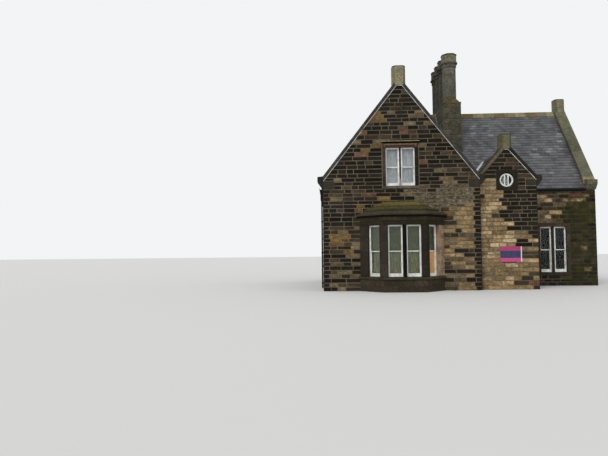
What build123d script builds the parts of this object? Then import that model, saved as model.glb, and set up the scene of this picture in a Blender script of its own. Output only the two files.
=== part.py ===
from build123d import *
from math import cos, pi, sin, sqrt, tan
import os

# A two-storey stone station building: a gabled main block with a canted bay, a lower-set
# range to its right under a roof of the same height, a small gabled stair bay in the corner
# between them, and a row of four octagonal chimney shafts. X runs to the right along the
# platform front, Y away from the platform and Z up, with the ground at 0. While it is drawn,
# X = 0 is the main gable's centre line and Y = 0 the main front wall's face.

# Walls and storeys
WALL = 500.0
MAIN_WIDTH = 7370.0
GABLE_EAVES = 5220.0
RIDGE = 9950.0
RANGE_SETBACK = 2700.0
RANGE_DEPTH = 6800.0
RANGE_LENGTH = 6600.0
STAIR_SETBACK = 350.0
STAIR_WIDTH = 2750.0
STAIR_EAVES = 5190.0
STAIR_APEX = 6770.0
FLOOR_TOP = 150.0
UPPER_FLOOR_TOP = 3800.0
UPPER_FLOOR_DEPTH = 200.0
BEAM_DEPTH = 420.0

# Roofs, all measured plumb
ROOF_SETDOWN = 120.0
ROOF_DEPTH = 190.0
EAVES_OVERHANG = 70.0
RIDGE_STONE_DEPTH = 70.0
RIDGE_STONE_REACH = 200.0

# Gable copings, kneelers and finials
COPING_DEPTH = 240.0
COPING_PROUD = 40.0
KNEELER_REACH = 260.0
KNEELER_DROP = 300.0
KNEELER_TOE = 90.0
KNEELER_TOE_RISE = 50.0
KNEELER_LIP = 220.0
KNEELER_FALL = 30.0
FINIAL_WIDTH = 630.0
FINIAL_RISE = 780.0
SMALL_FINIAL_RISE = 620.0
FINIAL_CHAMFER = 110.0
SMALL_FINIAL_WIDTH = 560.0

# Chimney stack; the shafts' heights are given down from their tops
STACK_FRONT = 4090.0
STACK_LENGTH = 3860.0
STACK_WIDTH = 980.0
STACK_TOP = 10040.0
SHAFT_COUNT = 4
SHAFT_SPACING = 960.0
SHAFT_WIDTH = 690.0
SHAFT_TOP = 12840.0
BROACH_WIDTH = 860.0
BROACH_HEIGHT = 320.0
STOP_DROP = 60.0
CAP_WIDTH = 820.0
CAP_HEIGHT = 60.0
CAP_BAND_WIDTH = 780.0
CAP_BAND_HEIGHT = 400.0
CAP_RING_WIDTH = 880.0
CAP_RING_HEIGHT = 90.0
CAP_NECK_WIDTH = 730.0
CAP_NECK_HEIGHT = 130.0
CAP_ROLL_WIDTH = 760.0
CAP_ROLL_HEIGHT = 60.0
FLUE_WIDTH = 230.0
FLUE_DEPTH = 300.0

# Canted bay window
BAY_PROJECTION = 1000.0
BAY_FRONT_HALF = 975.0
BAY_WALL = 300.0
BAY_SILL_TOP = 700.0
BAY_SILL_DEPTH = 130.0
BAY_SILL_PROUD = 60.0
BAY_HEAD = 3060.0
BAY_EAVES = 3510.0
BAY_ROOF_TOP = 4190.0
BAY_ROOF_OVERHANG = 130.0
BAY_ROOF_TOP_HALF = 800.0
BAY_ROOF_TOP_REACH = 150.0
BAY_ROOF_COURSES = 3
BAY_COURSE_NOSE = 70.0
BAY_COURSE_LAP = 45.0
BAY_CORNER_POST = 225.0
BAY_JAMB = 500.0
BAY_MULLION = 165.0
BAY_WALL_NIB = 50.0
CORNICE_STEPS = [(0, 120, 20, 20), (120, 250, 0, 0), (250, 360, 0, 90), (360, 450, 110, 110)]

# Windows and their stonework
UPPER_WIDTH = 1390.0
UPPER_SILL = 4970.0
UPPER_HEAD = 6790.0
UPPER_MULLION = 80.0
LOWER_WIDTH = 1330.0
LOWER_SILL = 700.0
LOWER_HEAD = 3040.0
LOWER_MULLION = 157.0
WINDOW_FROM_GABLE = 2150.0
MULLION_NOSE = 0.7
MULLION_PROUD = 0.6
LINTEL_DEPTH = 175.0
SILL_DEPTH = 160.0
BEARING = 130.0
SILL_PROUD = 60.0
SILL_FALL = 30.0
HOOD_REACH = 190.0
HOOD_BAND = 90.0
HOOD_PROUD = 150.0
HOOD_FALL = 40.0
HOOD_STEPS = [(0, 70, 10, 30), (70, 150, 30, 60), (150, 230, 60, 120)]

# Sashes
REVEAL = 120.0
FRAME_DEPTH = 120.0
FRAME_FACE = 25.0
SASH_STILE = 45.0
SASH_DEPTH = 45.0
SASH_SETBACK = 15.0
MEETING_RAIL = 45.0
BOTTOM_RAIL = 125.0
GLASS = 6.0

# Round window of the stair bay
ROUND_UNDER_GABLE = 520.0
ROUND_RADIUS = 320.0
ROUND_SPLAY = 60.0
ROUND_FRAME = 65.0
ROUND_BAR = 50.0
ROUND_BAR_OFFSET = 85.0
SURROUND_WIDTH = 1000.0
SURROUND_HEIGHT = 960.0
SURROUND_PROUD = 25.0

# Doors, openings and small pieces
DOOR_X = 5350.0
DOOR_WIDTH = 950.0
DOOR_HEIGHT = 2100.0
DOOR_LEAF = 50.0
DOOR_FRAME = 70.0
DOOR_SETBACK = 30.0
DOORWAY_WIDTH = 800.0
DOORWAY_HEIGHT = 1850.0
BOARD_WIDTH = 1000.0
BOARD_HEIGHT = 720.0
BOARD_THICKNESS = 20.0
BOARD_CENTRE = 1665.0
BOARD_SHIFT = 100.0
BOARDING = 20.0
GUTTER_WIDTH = 120.0
GUTTER_HEIGHT = 100.0
GUTTER_WALL = 8.0
GUTTER_DROP = 30.0
GUTTER_CLEAR = 20.0
GUTTER_FLAT = 75.0
GUTTER_SWELL = 108.0
GUTTER_SWELL_DROP = 60.0
PIPE_RADIUS = 38.0
PIPE_STANDOFF = 30.0
PIPE_OUTLET = 50.0
PIPE_NECK = 80.0
PIPE_FOOT = 100.0
PIPE_INSET = 150.0
COLLAR_SIDES = 12
COLLAR_WIDTH = 92.0
COLLAR_HEIGHT = 60.0
COLLAR_FIRST = 300.0
COLLAR_STEP = 1500.0
COLLAR_CLEAR = 600.0
LUG_REACH = 40.0
LUG_HEIGHT = 40.0

# Worked out from the sizes above
MAIN_HALF = MAIN_WIDTH / 2
MAIN_SLOPE = (RIDGE - GABLE_EAVES) / MAIN_HALF
RANGE_SLOPE = (RIDGE - GABLE_EAVES) / (RANGE_DEPTH / 2)
RANGE_BACK = RANGE_SETBACK + RANGE_DEPTH
RANGE_RIDGE_Y = RANGE_SETBACK + RANGE_DEPTH / 2
RANGE_RIGHT = MAIN_HALF + RANGE_LENGTH
STAIR_RIGHT = MAIN_HALF + STAIR_WIDTH
STAIR_AXIS = MAIN_HALF + STAIR_WIDTH / 2
STAIR_SLOPE = (STAIR_APEX - STAIR_EAVES) / (STAIR_WIDTH / 2)
INNER_HALF = MAIN_HALF - WALL
INNER_BACK = RANGE_BACK - WALL
INNER_FRONT = RANGE_SETBACK + WALL
STACK_BACK = STACK_FRONT + STACK_LENGTH
STACK_AXIS = MAIN_HALF - WALL / 2
STACK_LEFT = STACK_AXIS - STACK_WIDTH / 2
STACK_RIGHT = STACK_AXIS + STACK_WIDTH / 2
CANT = sqrt(0.5)


def prism_x(points, x0, x1):
    """A prism along X over an outline of (y, z) points."""
    outline = Face(Wire.make_polygon([(x0, y, z) for y, z in points]))
    return Solid.extrude(outline, Vector(x1 - x0, 0, 0))


def prism_y(points, y0, y1):
    """A prism along Y over an outline of (x, z) points."""
    outline = Face(Wire.make_polygon([(x, y0, z) for x, z in points]))
    return Solid.extrude(outline, Vector(0, y1 - y0, 0))


def prism_z(points, z0, z1):
    """An upright prism over an outline of (x, y) points."""
    outline = Face(Wire.make_polygon([(x, y, z0) for x, y in points]))
    return Solid.extrude(outline, Vector(0, 0, z1 - z0))


def block(x0, x1, y0, y1, z0, z1):
    return prism_z([(x0, y0), (x1, y0), (x1, y1), (x0, y1)], z0, z1)


def loft_z(lower, z0, upper, z1):
    """A flat-faced solid between two outlines whose sides run parallel."""
    low = [Vector(x, y, z0) for x, y in lower]
    high = [Vector(x, y, z1) for x, y in upper]
    rings = [low, high]
    for corner in range(len(low)):
        after = (corner + 1) % len(low)
        rings.append([low[corner], low[after], high[after], high[corner]])
    return Solid(Shell([Face(Wire.make_polygon(ring)) for ring in rings]))


def main_gable(x):
    """Height of the main block's gable line over a place across it."""
    return RIDGE - MAIN_SLOPE * abs(x)


def range_gable(y):
    return RIDGE - RANGE_SLOPE * abs(y - RANGE_RIDGE_Y)


def stair_gable(x):
    return STAIR_APEX - STAIR_SLOPE * abs(x - STAIR_AXIS)


def slate_top(gable_height):
    return gable_height - ROOF_SETDOWN


def roof_underside(gable_height):
    return gable_height - ROOF_SETDOWN - ROOF_DEPTH


def round_window_height():
    """Centre of the round window, hung below the small gable's slope."""
    clear = stair_gable(STAIR_AXIS + SURROUND_WIDTH / 2) - ROUND_UNDER_GABLE
    return clear - SURROUND_HEIGHT / 2


def regular(sides, width, x, y):
    """Corners of a regular figure, given across its flats."""
    step = 2 * pi / sides
    radius = width / 2 / cos(step / 2)
    angles = [step / 2 + corner * step for corner in range(sides)]
    return [(x + radius * cos(a), y + radius * sin(a)) for a in angles]


def octagon(width, x, y):
    return regular(8, width, x, y)


def square(width, x, y):
    half = width / 2
    return [(x - half, y - half), (x + half, y - half), (x + half, y + half), (x - half, y + half)]


# Windows, each drawn facing the viewer at Y = 0 and then turned on to its wall


class Opening:
    """A window or door hole: its place on a wall, its size and its stone mullion."""

    def __init__(self, wall, x, y, angle, width, sill, head, mullion, bearing=BEARING):
        self.wall = wall
        self.place = Location((x, y, 0), (0, 0, angle))
        self.width = width
        self.sill = sill
        self.head = head
        self.mullion = mullion
        self.bearing = bearing
        self.light = (width - mullion) / 2

    def upper(self):
        return self.sill > UPPER_FLOOR_TOP

    def put(self, shape):
        return shape.moved(self.place)

    def hole(self):
        """The light itself with the seats of its lintel and sill."""
        half = self.width / 2
        seat = half + self.bearing
        light = block(-half, half, 0, WALL, self.sill, self.head)
        over = block(-seat, seat, 0, WALL, self.head, self.head + LINTEL_DEPTH)
        under = block(-seat, seat, 0, WALL, self.sill - SILL_DEPTH, self.sill)
        return self.put(light + over + under)

    def lintel(self):
        seat = self.width / 2 + self.bearing
        return self.put(block(-seat, seat, 0, WALL, self.head, self.head + LINTEL_DEPTH))

    def sill_stone(self):
        """A weathered sill that falls outwards and stands proud of the wall."""
        seat = self.width / 2 + self.bearing
        bottom = self.sill - SILL_DEPTH
        outline = [
            (-SILL_PROUD, bottom),
            (WALL, bottom),
            (WALL, self.sill),
            (REVEAL, self.sill),
            (-SILL_PROUD, self.sill - SILL_FALL),
        ]
        stone = prism_x(outline, -seat, seat)
        ears = block(-seat, -self.width / 2, 0, REVEAL, self.sill - SILL_FALL, self.sill)
        other = block(self.width / 2, seat, 0, REVEAL, self.sill - SILL_FALL, self.sill)
        return self.put(stone + ears + other)

    def mullion_stone(self):
        half = self.mullion / 2
        outline = [
            (-half, WALL),
            (-half, REVEAL),
            (-half * MULLION_NOSE, REVEAL - half * MULLION_PROUD),
            (half * MULLION_NOSE, REVEAL - half * MULLION_PROUD),
            (half, REVEAL),
            (half, WALL),
        ]
        return self.put(prism_z(outline, self.sill, self.head))

    def lights(self):
        """Centres of the lights, left and right of the mullion."""
        shift = (self.mullion + self.light) / 2
        return [-shift, shift]

    def sashes(self):
        frame = sash_frame(self.light, self.head - self.sill)
        return [self.put(Pos(x, REVEAL, self.sill) * frame) for x in self.lights()]

    def glass(self):
        panes = sash_panes(self.light, self.head - self.sill)
        moved = []
        for x in self.lights():
            for pane in panes:
                moved.append(self.put(Pos(x, REVEAL, self.sill) * pane))
        return moved


def sash_frame(width, height):
    """A box frame with an upper sash in its outer half and a lower one in its inner half."""
    half = width / 2
    middle = height / 2
    opening = half - FRAME_FACE
    frame = block(-half, half, 0, FRAME_DEPTH, 0, height)
    frame -= block(-opening, opening, 0, FRAME_DEPTH, FRAME_FACE, height - FRAME_FACE)
    pane = opening - SASH_STILE
    outer_y = SASH_SETBACK
    inner_y = outer_y + SASH_DEPTH
    top = height - FRAME_FACE
    outer = block(-opening, opening, outer_y, inner_y, middle - MEETING_RAIL, top)
    outer -= block(-pane, pane, 0, FRAME_DEPTH, middle, top - SASH_STILE)
    inner = block(-opening, opening, inner_y, inner_y + SASH_DEPTH, FRAME_FACE, middle)
    inner -= block(-pane, pane, 0, FRAME_DEPTH, FRAME_FACE + BOTTOM_RAIL, middle - MEETING_RAIL)
    return frame + outer + inner


def sash_panes(width, height):
    """The two panes that fill the sashes."""
    pane = width / 2 - FRAME_FACE - SASH_STILE
    middle = height / 2
    outer_y = SASH_SETBACK + SASH_DEPTH / 2
    inner_y = outer_y + SASH_DEPTH
    upper = block(-pane, pane, outer_y, outer_y + GLASS, middle, height - FRAME_FACE - SASH_STILE)
    lower = block(-pane, pane, inner_y, inner_y + GLASS, FRAME_FACE + BOTTOM_RAIL, middle - MEETING_RAIL)
    return [upper, lower]


def list_windows():
    upper = (UPPER_WIDTH, UPPER_SILL, UPPER_HEAD, UPPER_MULLION)
    lower = (LOWER_WIDTH, LOWER_SILL, LOWER_HEAD, LOWER_MULLION)
    range_window_x = RANGE_RIGHT - WINDOW_FROM_GABLE
    rear_window_x = (DOOR_X + RANGE_RIGHT) / 2
    return [
        Opening("main_front_wall", 0, 0, 0, *upper),
        Opening("main_left_wall", -MAIN_HALF, (WALL + INNER_BACK) / 2, -90, *lower),
        Opening("main_rear_wall", 0, RANGE_BACK, 180, *upper),
        Opening("main_rear_wall", 0, RANGE_BACK, 180, *lower),
        Opening("range_front_wall", range_window_x, RANGE_SETBACK, 0, *lower),
        Opening("range_gable_wall", RANGE_RIGHT, RANGE_RIDGE_Y, 90, *upper),
        Opening("range_gable_wall", RANGE_RIGHT, RANGE_RIDGE_Y, 90, *lower),
        Opening("range_rear_wall", rear_window_x, RANGE_BACK, 180, *lower),
    ]


WINDOWS = list_windows()


def cut_windows(wall_name, wall):
    for window in WINDOWS:
        if window.wall == wall_name:
            wall -= window.hole()
    return wall


# Walls


def finial_seat(width, apex, slope):
    """Height of the level bed under a finial, where the copings' backs meet its sides."""
    return apex - slope * width / 2 + COPING_DEPTH


def gable_outline(axis, half, eaves, apex, slope, finial_width):
    """A gabled wall's outline, its point cut level for the finial to stand on."""
    seat = finial_seat(finial_width, apex, slope)
    flat = (apex - seat) / slope
    return [
        (axis - half, 0),
        (axis + half, 0),
        (axis + half, eaves),
        (axis + flat, seat),
        (axis - flat, seat),
        (axis - half, eaves),
    ]


def main_gable_wall(y0, y1):
    outline = gable_outline(0, MAIN_HALF, GABLE_EAVES, RIDGE, MAIN_SLOPE, FINIAL_WIDTH)
    return prism_y(outline, y0, y1)


def main_front_wall():
    half = bay_outline(-BAY_WALL)[3][0] - BAY_WALL_NIB
    wall = main_gable_wall(0, WALL)
    wall -= block(-half, half, 0, WALL, FLOOR_TOP, BAY_HEAD)
    return cut_windows("main_front_wall", wall)


def main_rear_wall():
    """The rear gable, raised on its range side to meet the range's roof."""
    wall = main_gable_wall(INNER_BACK, RANGE_BACK)
    wall += range_side_wall(INNER_HALF, MAIN_HALF, RANGE_BACK, INNER_BACK)
    return cut_windows("main_rear_wall", wall - range_roof())


def main_left_wall():
    outline = [
        (-MAIN_HALF, 0),
        (-INNER_HALF, 0),
        (-INNER_HALF, roof_underside(main_gable(INNER_HALF))),
        (-MAIN_HALF, roof_underside(GABLE_EAVES)),
    ]
    return cut_windows("main_left_wall", prism_y(outline, WALL, INNER_BACK))


def spine_part(y0, y1):
    """The main block's right wall between two places, up to both roofs' undersides."""
    eaves = [
        (INNER_HALF, 0),
        (MAIN_HALF, 0),
        (MAIN_HALF, roof_underside(GABLE_EAVES)),
        (INNER_HALF, roof_underside(main_gable(INNER_HALF))),
    ]
    covered0 = max(y0, RANGE_SETBACK)
    covered = [
        (covered0, 0),
        (y1, 0),
        (y1, roof_underside(range_gable(y1))),
        (covered0, roof_underside(range_gable(covered0))),
    ]
    return prism_y(eaves, y0, y1) + prism_x(covered, INNER_HALF, MAIN_HALF)


def spine_wall():
    """The wall before and behind the stack, with a doorway beside it on each floor."""
    front = spine_part(WALL, STACK_FRONT)
    for floor in (FLOOR_TOP, UPPER_FLOOR_TOP):
        front -= block(
            INNER_HALF, MAIN_HALF,
            STACK_FRONT - DOORWAY_WIDTH, STACK_FRONT,
            floor, floor + DOORWAY_HEIGHT,
        )
    return [front, spine_part(STACK_BACK, INNER_BACK)]


def range_side_wall(x0, x1, y_out, y_in):
    outline = [
        (y_out, 0),
        (y_in, 0),
        (y_in, roof_underside(range_gable(y_in))),
        (y_out, roof_underside(range_gable(y_out))),
    ]
    return prism_x(outline, x0, x1)


def range_front_wall():
    wall = range_side_wall(STAIR_RIGHT - WALL, RANGE_RIGHT - WALL, RANGE_SETBACK, INNER_FRONT)
    return cut_windows("range_front_wall", wall)


def range_rear_wall():
    wall = range_side_wall(MAIN_HALF, RANGE_RIGHT - WALL, RANGE_BACK, INNER_BACK)
    half = DOOR_WIDTH / 2
    wall -= block(DOOR_X - half, DOOR_X + half, INNER_BACK, RANGE_BACK, FLOOR_TOP, FLOOR_TOP + DOOR_HEIGHT)
    wall -= door_lintel()
    return cut_windows("range_rear_wall", wall)


def range_gable_wall():
    outline = gable_outline(
        RANGE_RIDGE_Y, RANGE_DEPTH / 2, GABLE_EAVES, RIDGE, RANGE_SLOPE, SMALL_FINIAL_WIDTH
    )
    return cut_windows("range_gable_wall", prism_x(outline, RANGE_RIGHT - WALL, RANGE_RIGHT))


def stair_bay_walls():
    """The small gable with its round window, and the return wall on its right."""
    gable = gable_outline(
        STAIR_AXIS, STAIR_WIDTH / 2, STAIR_EAVES, STAIR_APEX, STAIR_SLOPE, SMALL_FINIAL_WIDTH
    )
    side = [
        (STAIR_RIGHT - WALL, 0),
        (STAIR_RIGHT, 0),
        (STAIR_RIGHT, roof_underside(STAIR_EAVES)),
        (STAIR_RIGHT - WALL, roof_underside(stair_gable(STAIR_RIGHT - WALL))),
    ]
    back = STAIR_SETBACK + WALL
    walls = prism_y(gable, STAIR_SETBACK, back) + prism_y(side, back, RANGE_SETBACK)
    return walls - surround_block(0)


def stair_bay_beam():
    """The beam that carries the range's roof across the back of the stair bay."""
    outline = [
        (RANGE_SETBACK, roof_underside(GABLE_EAVES) - BEAM_DEPTH),
        (INNER_FRONT, roof_underside(GABLE_EAVES) - BEAM_DEPTH),
        (INNER_FRONT, roof_underside(range_gable(INNER_FRONT))),
        (RANGE_SETBACK, roof_underside(GABLE_EAVES)),
    ]
    return prism_x(outline, MAIN_HALF, STAIR_RIGHT - WALL)


# Floors


def ground_floor():
    inner = bay_outline(-BAY_WALL)
    main = block(-INNER_HALF, INNER_HALF, WALL, INNER_BACK, 0, FLOOR_TOP)
    bay = prism_z(inner, 0, FLOOR_TOP)
    main = main + bay - chimney_breast_block()
    wide = block(MAIN_HALF, RANGE_RIGHT - WALL, INNER_FRONT, INNER_BACK, 0, FLOOR_TOP)
    stair = block(MAIN_HALF, STAIR_RIGHT - WALL, STAIR_SETBACK + WALL, INNER_FRONT, 0, FLOOR_TOP)
    return [main, wide + stair - chimney_breast_block()]


def upper_floor():
    bottom = UPPER_FLOOR_TOP - UPPER_FLOOR_DEPTH
    main = block(-INNER_HALF, INNER_HALF, WALL, INNER_BACK, bottom, UPPER_FLOOR_TOP)
    wide = block(MAIN_HALF, RANGE_RIGHT - WALL, INNER_FRONT, INNER_BACK, bottom, UPPER_FLOOR_TOP)
    return [main - chimney_breast_block(), wide - chimney_breast_block()]


# Roofs


def slope_outline(ridge_at, eaves_at, ridge_height, slope):
    """Section of one roof slope, from its ridge to its eaves."""
    top = slate_top(ridge_height)
    eaves = top - slope * abs(eaves_at - ridge_at)
    return [
        (ridge_at, top),
        (eaves_at, eaves),
        (eaves_at, eaves - ROOF_DEPTH),
        (ridge_at, top - ROOF_DEPTH),
    ]


def valley_x(y):
    """Where the valley between the two roofs crosses a line across the building."""
    return abs(y - RANGE_RIDGE_Y) * RANGE_SLOPE / MAIN_SLOPE


def main_roof():
    left = slope_outline(0, -MAIN_HALF - EAVES_OVERHANG, RIDGE, MAIN_SLOPE)
    right = slope_outline(0, MAIN_HALF, RIDGE, MAIN_SLOPE)
    roof = prism_y(left, WALL, INNER_BACK)
    front = [(0, WALL), (MAIN_HALF, WALL), (MAIN_HALF, RANGE_SETBACK), (0, RANGE_RIDGE_Y)]
    rear = [(0, RANGE_RIDGE_Y), (valley_x(INNER_BACK), INNER_BACK), (0, INNER_BACK)]
    slab = prism_y(right, WALL, INNER_BACK)
    roof += slab & prism_z(front, 0, RIDGE)
    roof += slab & prism_z(rear, 0, RIDGE)
    return roof


def range_roof():
    inside = RANGE_RIGHT - WALL
    over = STAIR_RIGHT + EAVES_OVERHANG
    front_eaves = RANGE_SETBACK - EAVES_OVERHANG
    rear_eaves = RANGE_BACK + EAVES_OVERHANG
    front = [
        (0, RANGE_RIDGE_Y),
        (MAIN_HALF, RANGE_SETBACK),
        (over, RANGE_SETBACK),
        (over, front_eaves),
        (inside, front_eaves),
        (inside, RANGE_RIDGE_Y),
    ]
    rear = [
        (0, RANGE_RIDGE_Y),
        (inside, RANGE_RIDGE_Y),
        (inside, rear_eaves),
        (MAIN_HALF, rear_eaves),
        (MAIN_HALF, RANGE_BACK),
    ]
    front_slab = prism_x(slope_outline(RANGE_RIDGE_Y, front_eaves, RIDGE, RANGE_SLOPE), 0, inside)
    rear_slab = prism_x(slope_outline(RANGE_RIDGE_Y, rear_eaves, RIDGE, RANGE_SLOPE), 0, inside)
    roof = (front_slab & prism_z(front, 0, RIDGE)) + (rear_slab & prism_z(rear, 0, RIDGE))
    return roof - chimney_breast_block()


def under_range_slates(y):
    """Everything below one of the range's slopes, from its ridge out to a given line."""
    outline = [
        (y, 0),
        (RANGE_RIDGE_Y, 0),
        (RANGE_RIDGE_Y, slate_top(RIDGE)),
        (y, slate_top(range_gable(y))),
    ]
    return prism_x(outline, 0, RANGE_RIGHT)


def stair_bay_roof():
    back = STAIR_SETBACK + WALL
    left = slope_outline(STAIR_AXIS, MAIN_HALF, STAIR_APEX, STAIR_SLOPE)
    right = slope_outline(STAIR_AXIS, STAIR_RIGHT + EAVES_OVERHANG, STAIR_APEX, STAIR_SLOPE)
    roof = prism_y(left, back, RANGE_RIDGE_Y) + prism_y(right, back, RANGE_RIDGE_Y)
    return roof - under_range_slates(RANGE_SETBACK)


def ridge_section(at, ridge_height, slope):
    """Section of the stones that cap a ridge."""
    top = slate_top(ridge_height)
    drop = slope * RIDGE_STONE_REACH
    return [
        (at - RIDGE_STONE_REACH, top - drop),
        (at, top),
        (at + RIDGE_STONE_REACH, top - drop),
        (at + RIDGE_STONE_REACH, top - drop + RIDGE_STONE_DEPTH),
        (at, top + RIDGE_STONE_DEPTH),
        (at - RIDGE_STONE_REACH, top - drop + RIDGE_STONE_DEPTH),
    ]


def ridge_stones():
    start = WALL + COPING_PROUD
    end = INNER_BACK - COPING_PROUD
    inside = RANGE_RIGHT - WALL - COPING_PROUD
    main = prism_y(ridge_section(0, RIDGE, MAIN_SLOPE), start, end)
    wide = ridge_section(RANGE_RIDGE_Y, RIDGE, RANGE_SLOPE)
    spread = STACK_LEFT * MAIN_SLOPE / RANGE_SLOPE
    between_valleys = prism_z([
        (0, RANGE_RIDGE_Y),
        (STACK_LEFT, RANGE_RIDGE_Y - spread),
        (STACK_LEFT, RANGE_RIDGE_Y + spread),
    ], 0, RIDGE)
    joined = (main - between_valleys) + (prism_x(wide, 0, STACK_LEFT) & between_valleys)
    outer = prism_x(wide, STACK_RIGHT, inside)
    stair = prism_y(
        ridge_section(STAIR_AXIS, STAIR_APEX, STAIR_SLOPE),
        STAIR_SETBACK + WALL + COPING_PROUD, RANGE_RIDGE_Y,
    )
    stair -= under_range_slates(RANGE_SETBACK)
    return [joined, outer, stair]


# Gable stonework


def coping_outline(axis, half, apex, slope):
    eaves = apex - slope * half
    return [
        (axis - half, eaves),
        (axis, apex),
        (axis + half, eaves),
        (axis + half, eaves + COPING_DEPTH),
        (axis, apex + COPING_DEPTH),
        (axis - half, eaves + COPING_DEPTH),
    ]


def chamfered(x0, x1, y0, y1):
    cut = FINIAL_CHAMFER
    return [
        (x0 + cut, y0), (x1 - cut, y0), (x1, y0 + cut), (x1, y1 - cut),
        (x1 - cut, y1), (x0 + cut, y1), (x0, y1 - cut), (x0, y0 + cut),
    ]


def finial_y(axis, width, rise, apex, slope, y0, y1):
    """A finial on a gable that faces along Y."""
    half = width / 2
    plan = chamfered(axis - half, axis + half, y0 - COPING_PROUD, y1 + COPING_PROUD)
    return prism_z(plan, finial_seat(width, apex, slope), apex + rise)


def finial_x(axis, width, rise, apex, slope, x0, x1):
    """A finial on a gable that faces along X."""
    half = width / 2
    plan = chamfered(x0 - COPING_PROUD, x1 + COPING_PROUD, axis - half, axis + half)
    return prism_z(plan, finial_seat(width, apex, slope), apex + rise)


def finials():
    """The blocks on the gables' points, notched behind over the slates."""
    stair_back = STAIR_SETBACK + WALL
    main = (0, FINIAL_WIDTH, FINIAL_RISE, RIDGE, MAIN_SLOPE)
    small = (SMALL_FINIAL_WIDTH, SMALL_FINIAL_RISE)
    stair = finial_y(STAIR_AXIS, *small, STAIR_APEX, STAIR_SLOPE, STAIR_SETBACK, stair_back)
    right = finial_x(RANGE_RIDGE_Y, *small, RIDGE, RANGE_SLOPE, RANGE_RIGHT - WALL, RANGE_RIGHT)
    return [
        finial_y(*main, 0, WALL) - main_roof(),
        finial_y(*main, INNER_BACK, RANGE_BACK) - main_roof(),
        stair - stair_bay_roof(),
        right - range_roof(),
    ]


def trim_by(shape, cutters):
    for cutter in cutters:
        shape -= cutter
    return shape


def main_copings():
    """The copings of the main block's two gables."""
    outline = coping_outline(0, MAIN_HALF, RIDGE, MAIN_SLOPE)
    front = prism_y(outline, -COPING_PROUD, WALL + COPING_PROUD)
    rear = prism_y(outline, INNER_BACK - COPING_PROUD, RANGE_BACK + COPING_PROUD)
    rear -= under_range_slates(RANGE_BACK + EAVES_OVERHANG)
    return [trim_by(front, finials()), trim_by(rear, finials())]


def range_gable_coping():
    outline = coping_outline(RANGE_RIDGE_Y, RANGE_DEPTH / 2, RIDGE, RANGE_SLOPE)
    coping = prism_x(outline, RANGE_RIGHT - WALL - COPING_PROUD, RANGE_RIGHT + COPING_PROUD)
    return trim_by(coping, finials())


def stair_bay_coping():
    outline = coping_outline(STAIR_AXIS, STAIR_WIDTH / 2, STAIR_APEX, STAIR_SLOPE)
    coping = prism_y(outline, STAIR_SETBACK - COPING_PROUD, STAIR_SETBACK + WALL + COPING_PROUD)
    return trim_by(coping, finials())


def kneeler_outline(corner, side, eaves):
    """A corbelled kneeler that grows out of the wall corner under the coping's foot."""
    toe = eaves - KNEELER_DROP
    nose = eaves + COPING_DEPTH - KNEELER_FALL
    points = [
        (0, toe),
        (KNEELER_TOE, toe + KNEELER_TOE_RISE),
        (KNEELER_REACH, nose - KNEELER_LIP),
        (KNEELER_REACH, nose),
        (0, eaves + COPING_DEPTH),
    ]
    return [(corner + side * reach, z) for reach, z in points]


def front_kneeler_right():
    outline = kneeler_outline(MAIN_HALF, 1, GABLE_EAVES)
    return prism_y(outline, -COPING_PROUD, STAIR_SETBACK - COPING_PROUD)


def kneelers():
    """One block at each free foot of a gable coping."""
    left = kneeler_outline(-MAIN_HALF, -1, GABLE_EAVES)
    stair = kneeler_outline(STAIR_RIGHT, 1, STAIR_EAVES)
    range_front = kneeler_outline(RANGE_SETBACK, -1, GABLE_EAVES)
    range_rear = kneeler_outline(RANGE_BACK, 1, GABLE_EAVES)
    inside = RANGE_RIGHT - WALL
    return [
        prism_y(left, -COPING_PROUD, WALL),
        prism_y(left, INNER_BACK, RANGE_BACK + COPING_PROUD),
        front_kneeler_right(),
        prism_y(stair, STAIR_SETBACK - COPING_PROUD, STAIR_SETBACK + WALL),
        prism_x(range_front, inside, RANGE_RIGHT + COPING_PROUD),
        prism_x(range_rear, inside, RANGE_RIGHT + COPING_PROUD),
    ]


# Chimney


def chimney_breast_block():
    return block(STACK_LEFT, STACK_RIGHT, STACK_FRONT, STACK_BACK, 0, STACK_TOP)


def shaft_profile():
    """Widths of a shaft at its turning points, from the top down to its plain length."""
    profile = [
        (CAP_HEIGHT, CAP_WIDTH, CAP_WIDTH),
        (CAP_BAND_HEIGHT, CAP_BAND_WIDTH, CAP_BAND_WIDTH),
        (CAP_RING_HEIGHT, CAP_RING_WIDTH, CAP_RING_WIDTH),
        (CAP_NECK_HEIGHT, CAP_BAND_WIDTH, CAP_NECK_WIDTH),
        (CAP_ROLL_HEIGHT, CAP_ROLL_WIDTH, CAP_ROLL_WIDTH),
    ]
    left = SHAFT_TOP - STACK_TOP - sum(height for height, upper, lower in profile)
    return profile + [(left, SHAFT_WIDTH, SHAFT_WIDTH)]


def broach_stops(y):
    """The square foot and the four pyramids that turn it into an octagon."""
    x = STACK_AXIS
    foot = STACK_TOP + STOP_DROP
    point = SHAFT_WIDTH * (2 - sqrt(2))
    base = prism_z(square(BROACH_WIDTH, x, y), STACK_TOP, foot)
    return base + loft_z(square(BROACH_WIDTH, x, y), foot, square(point, x, y), foot + BROACH_HEIGHT)


def chimney_shaft(y):
    """An octagonal shaft that rises from a square broached foot to a moulded cap."""
    x = STACK_AXIS
    shaft = broach_stops(y)
    top = SHAFT_TOP
    for height, upper, lower in shaft_profile():
        shaft += loft_z(octagon(lower, x, y), top - height, octagon(upper, x, y), top)
        top -= height
    flue = Solid.make_cylinder(FLUE_WIDTH / 2, FLUE_DEPTH)
    return shaft - flue.moved(Location((x, y, SHAFT_TOP - FLUE_DEPTH)))


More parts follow.
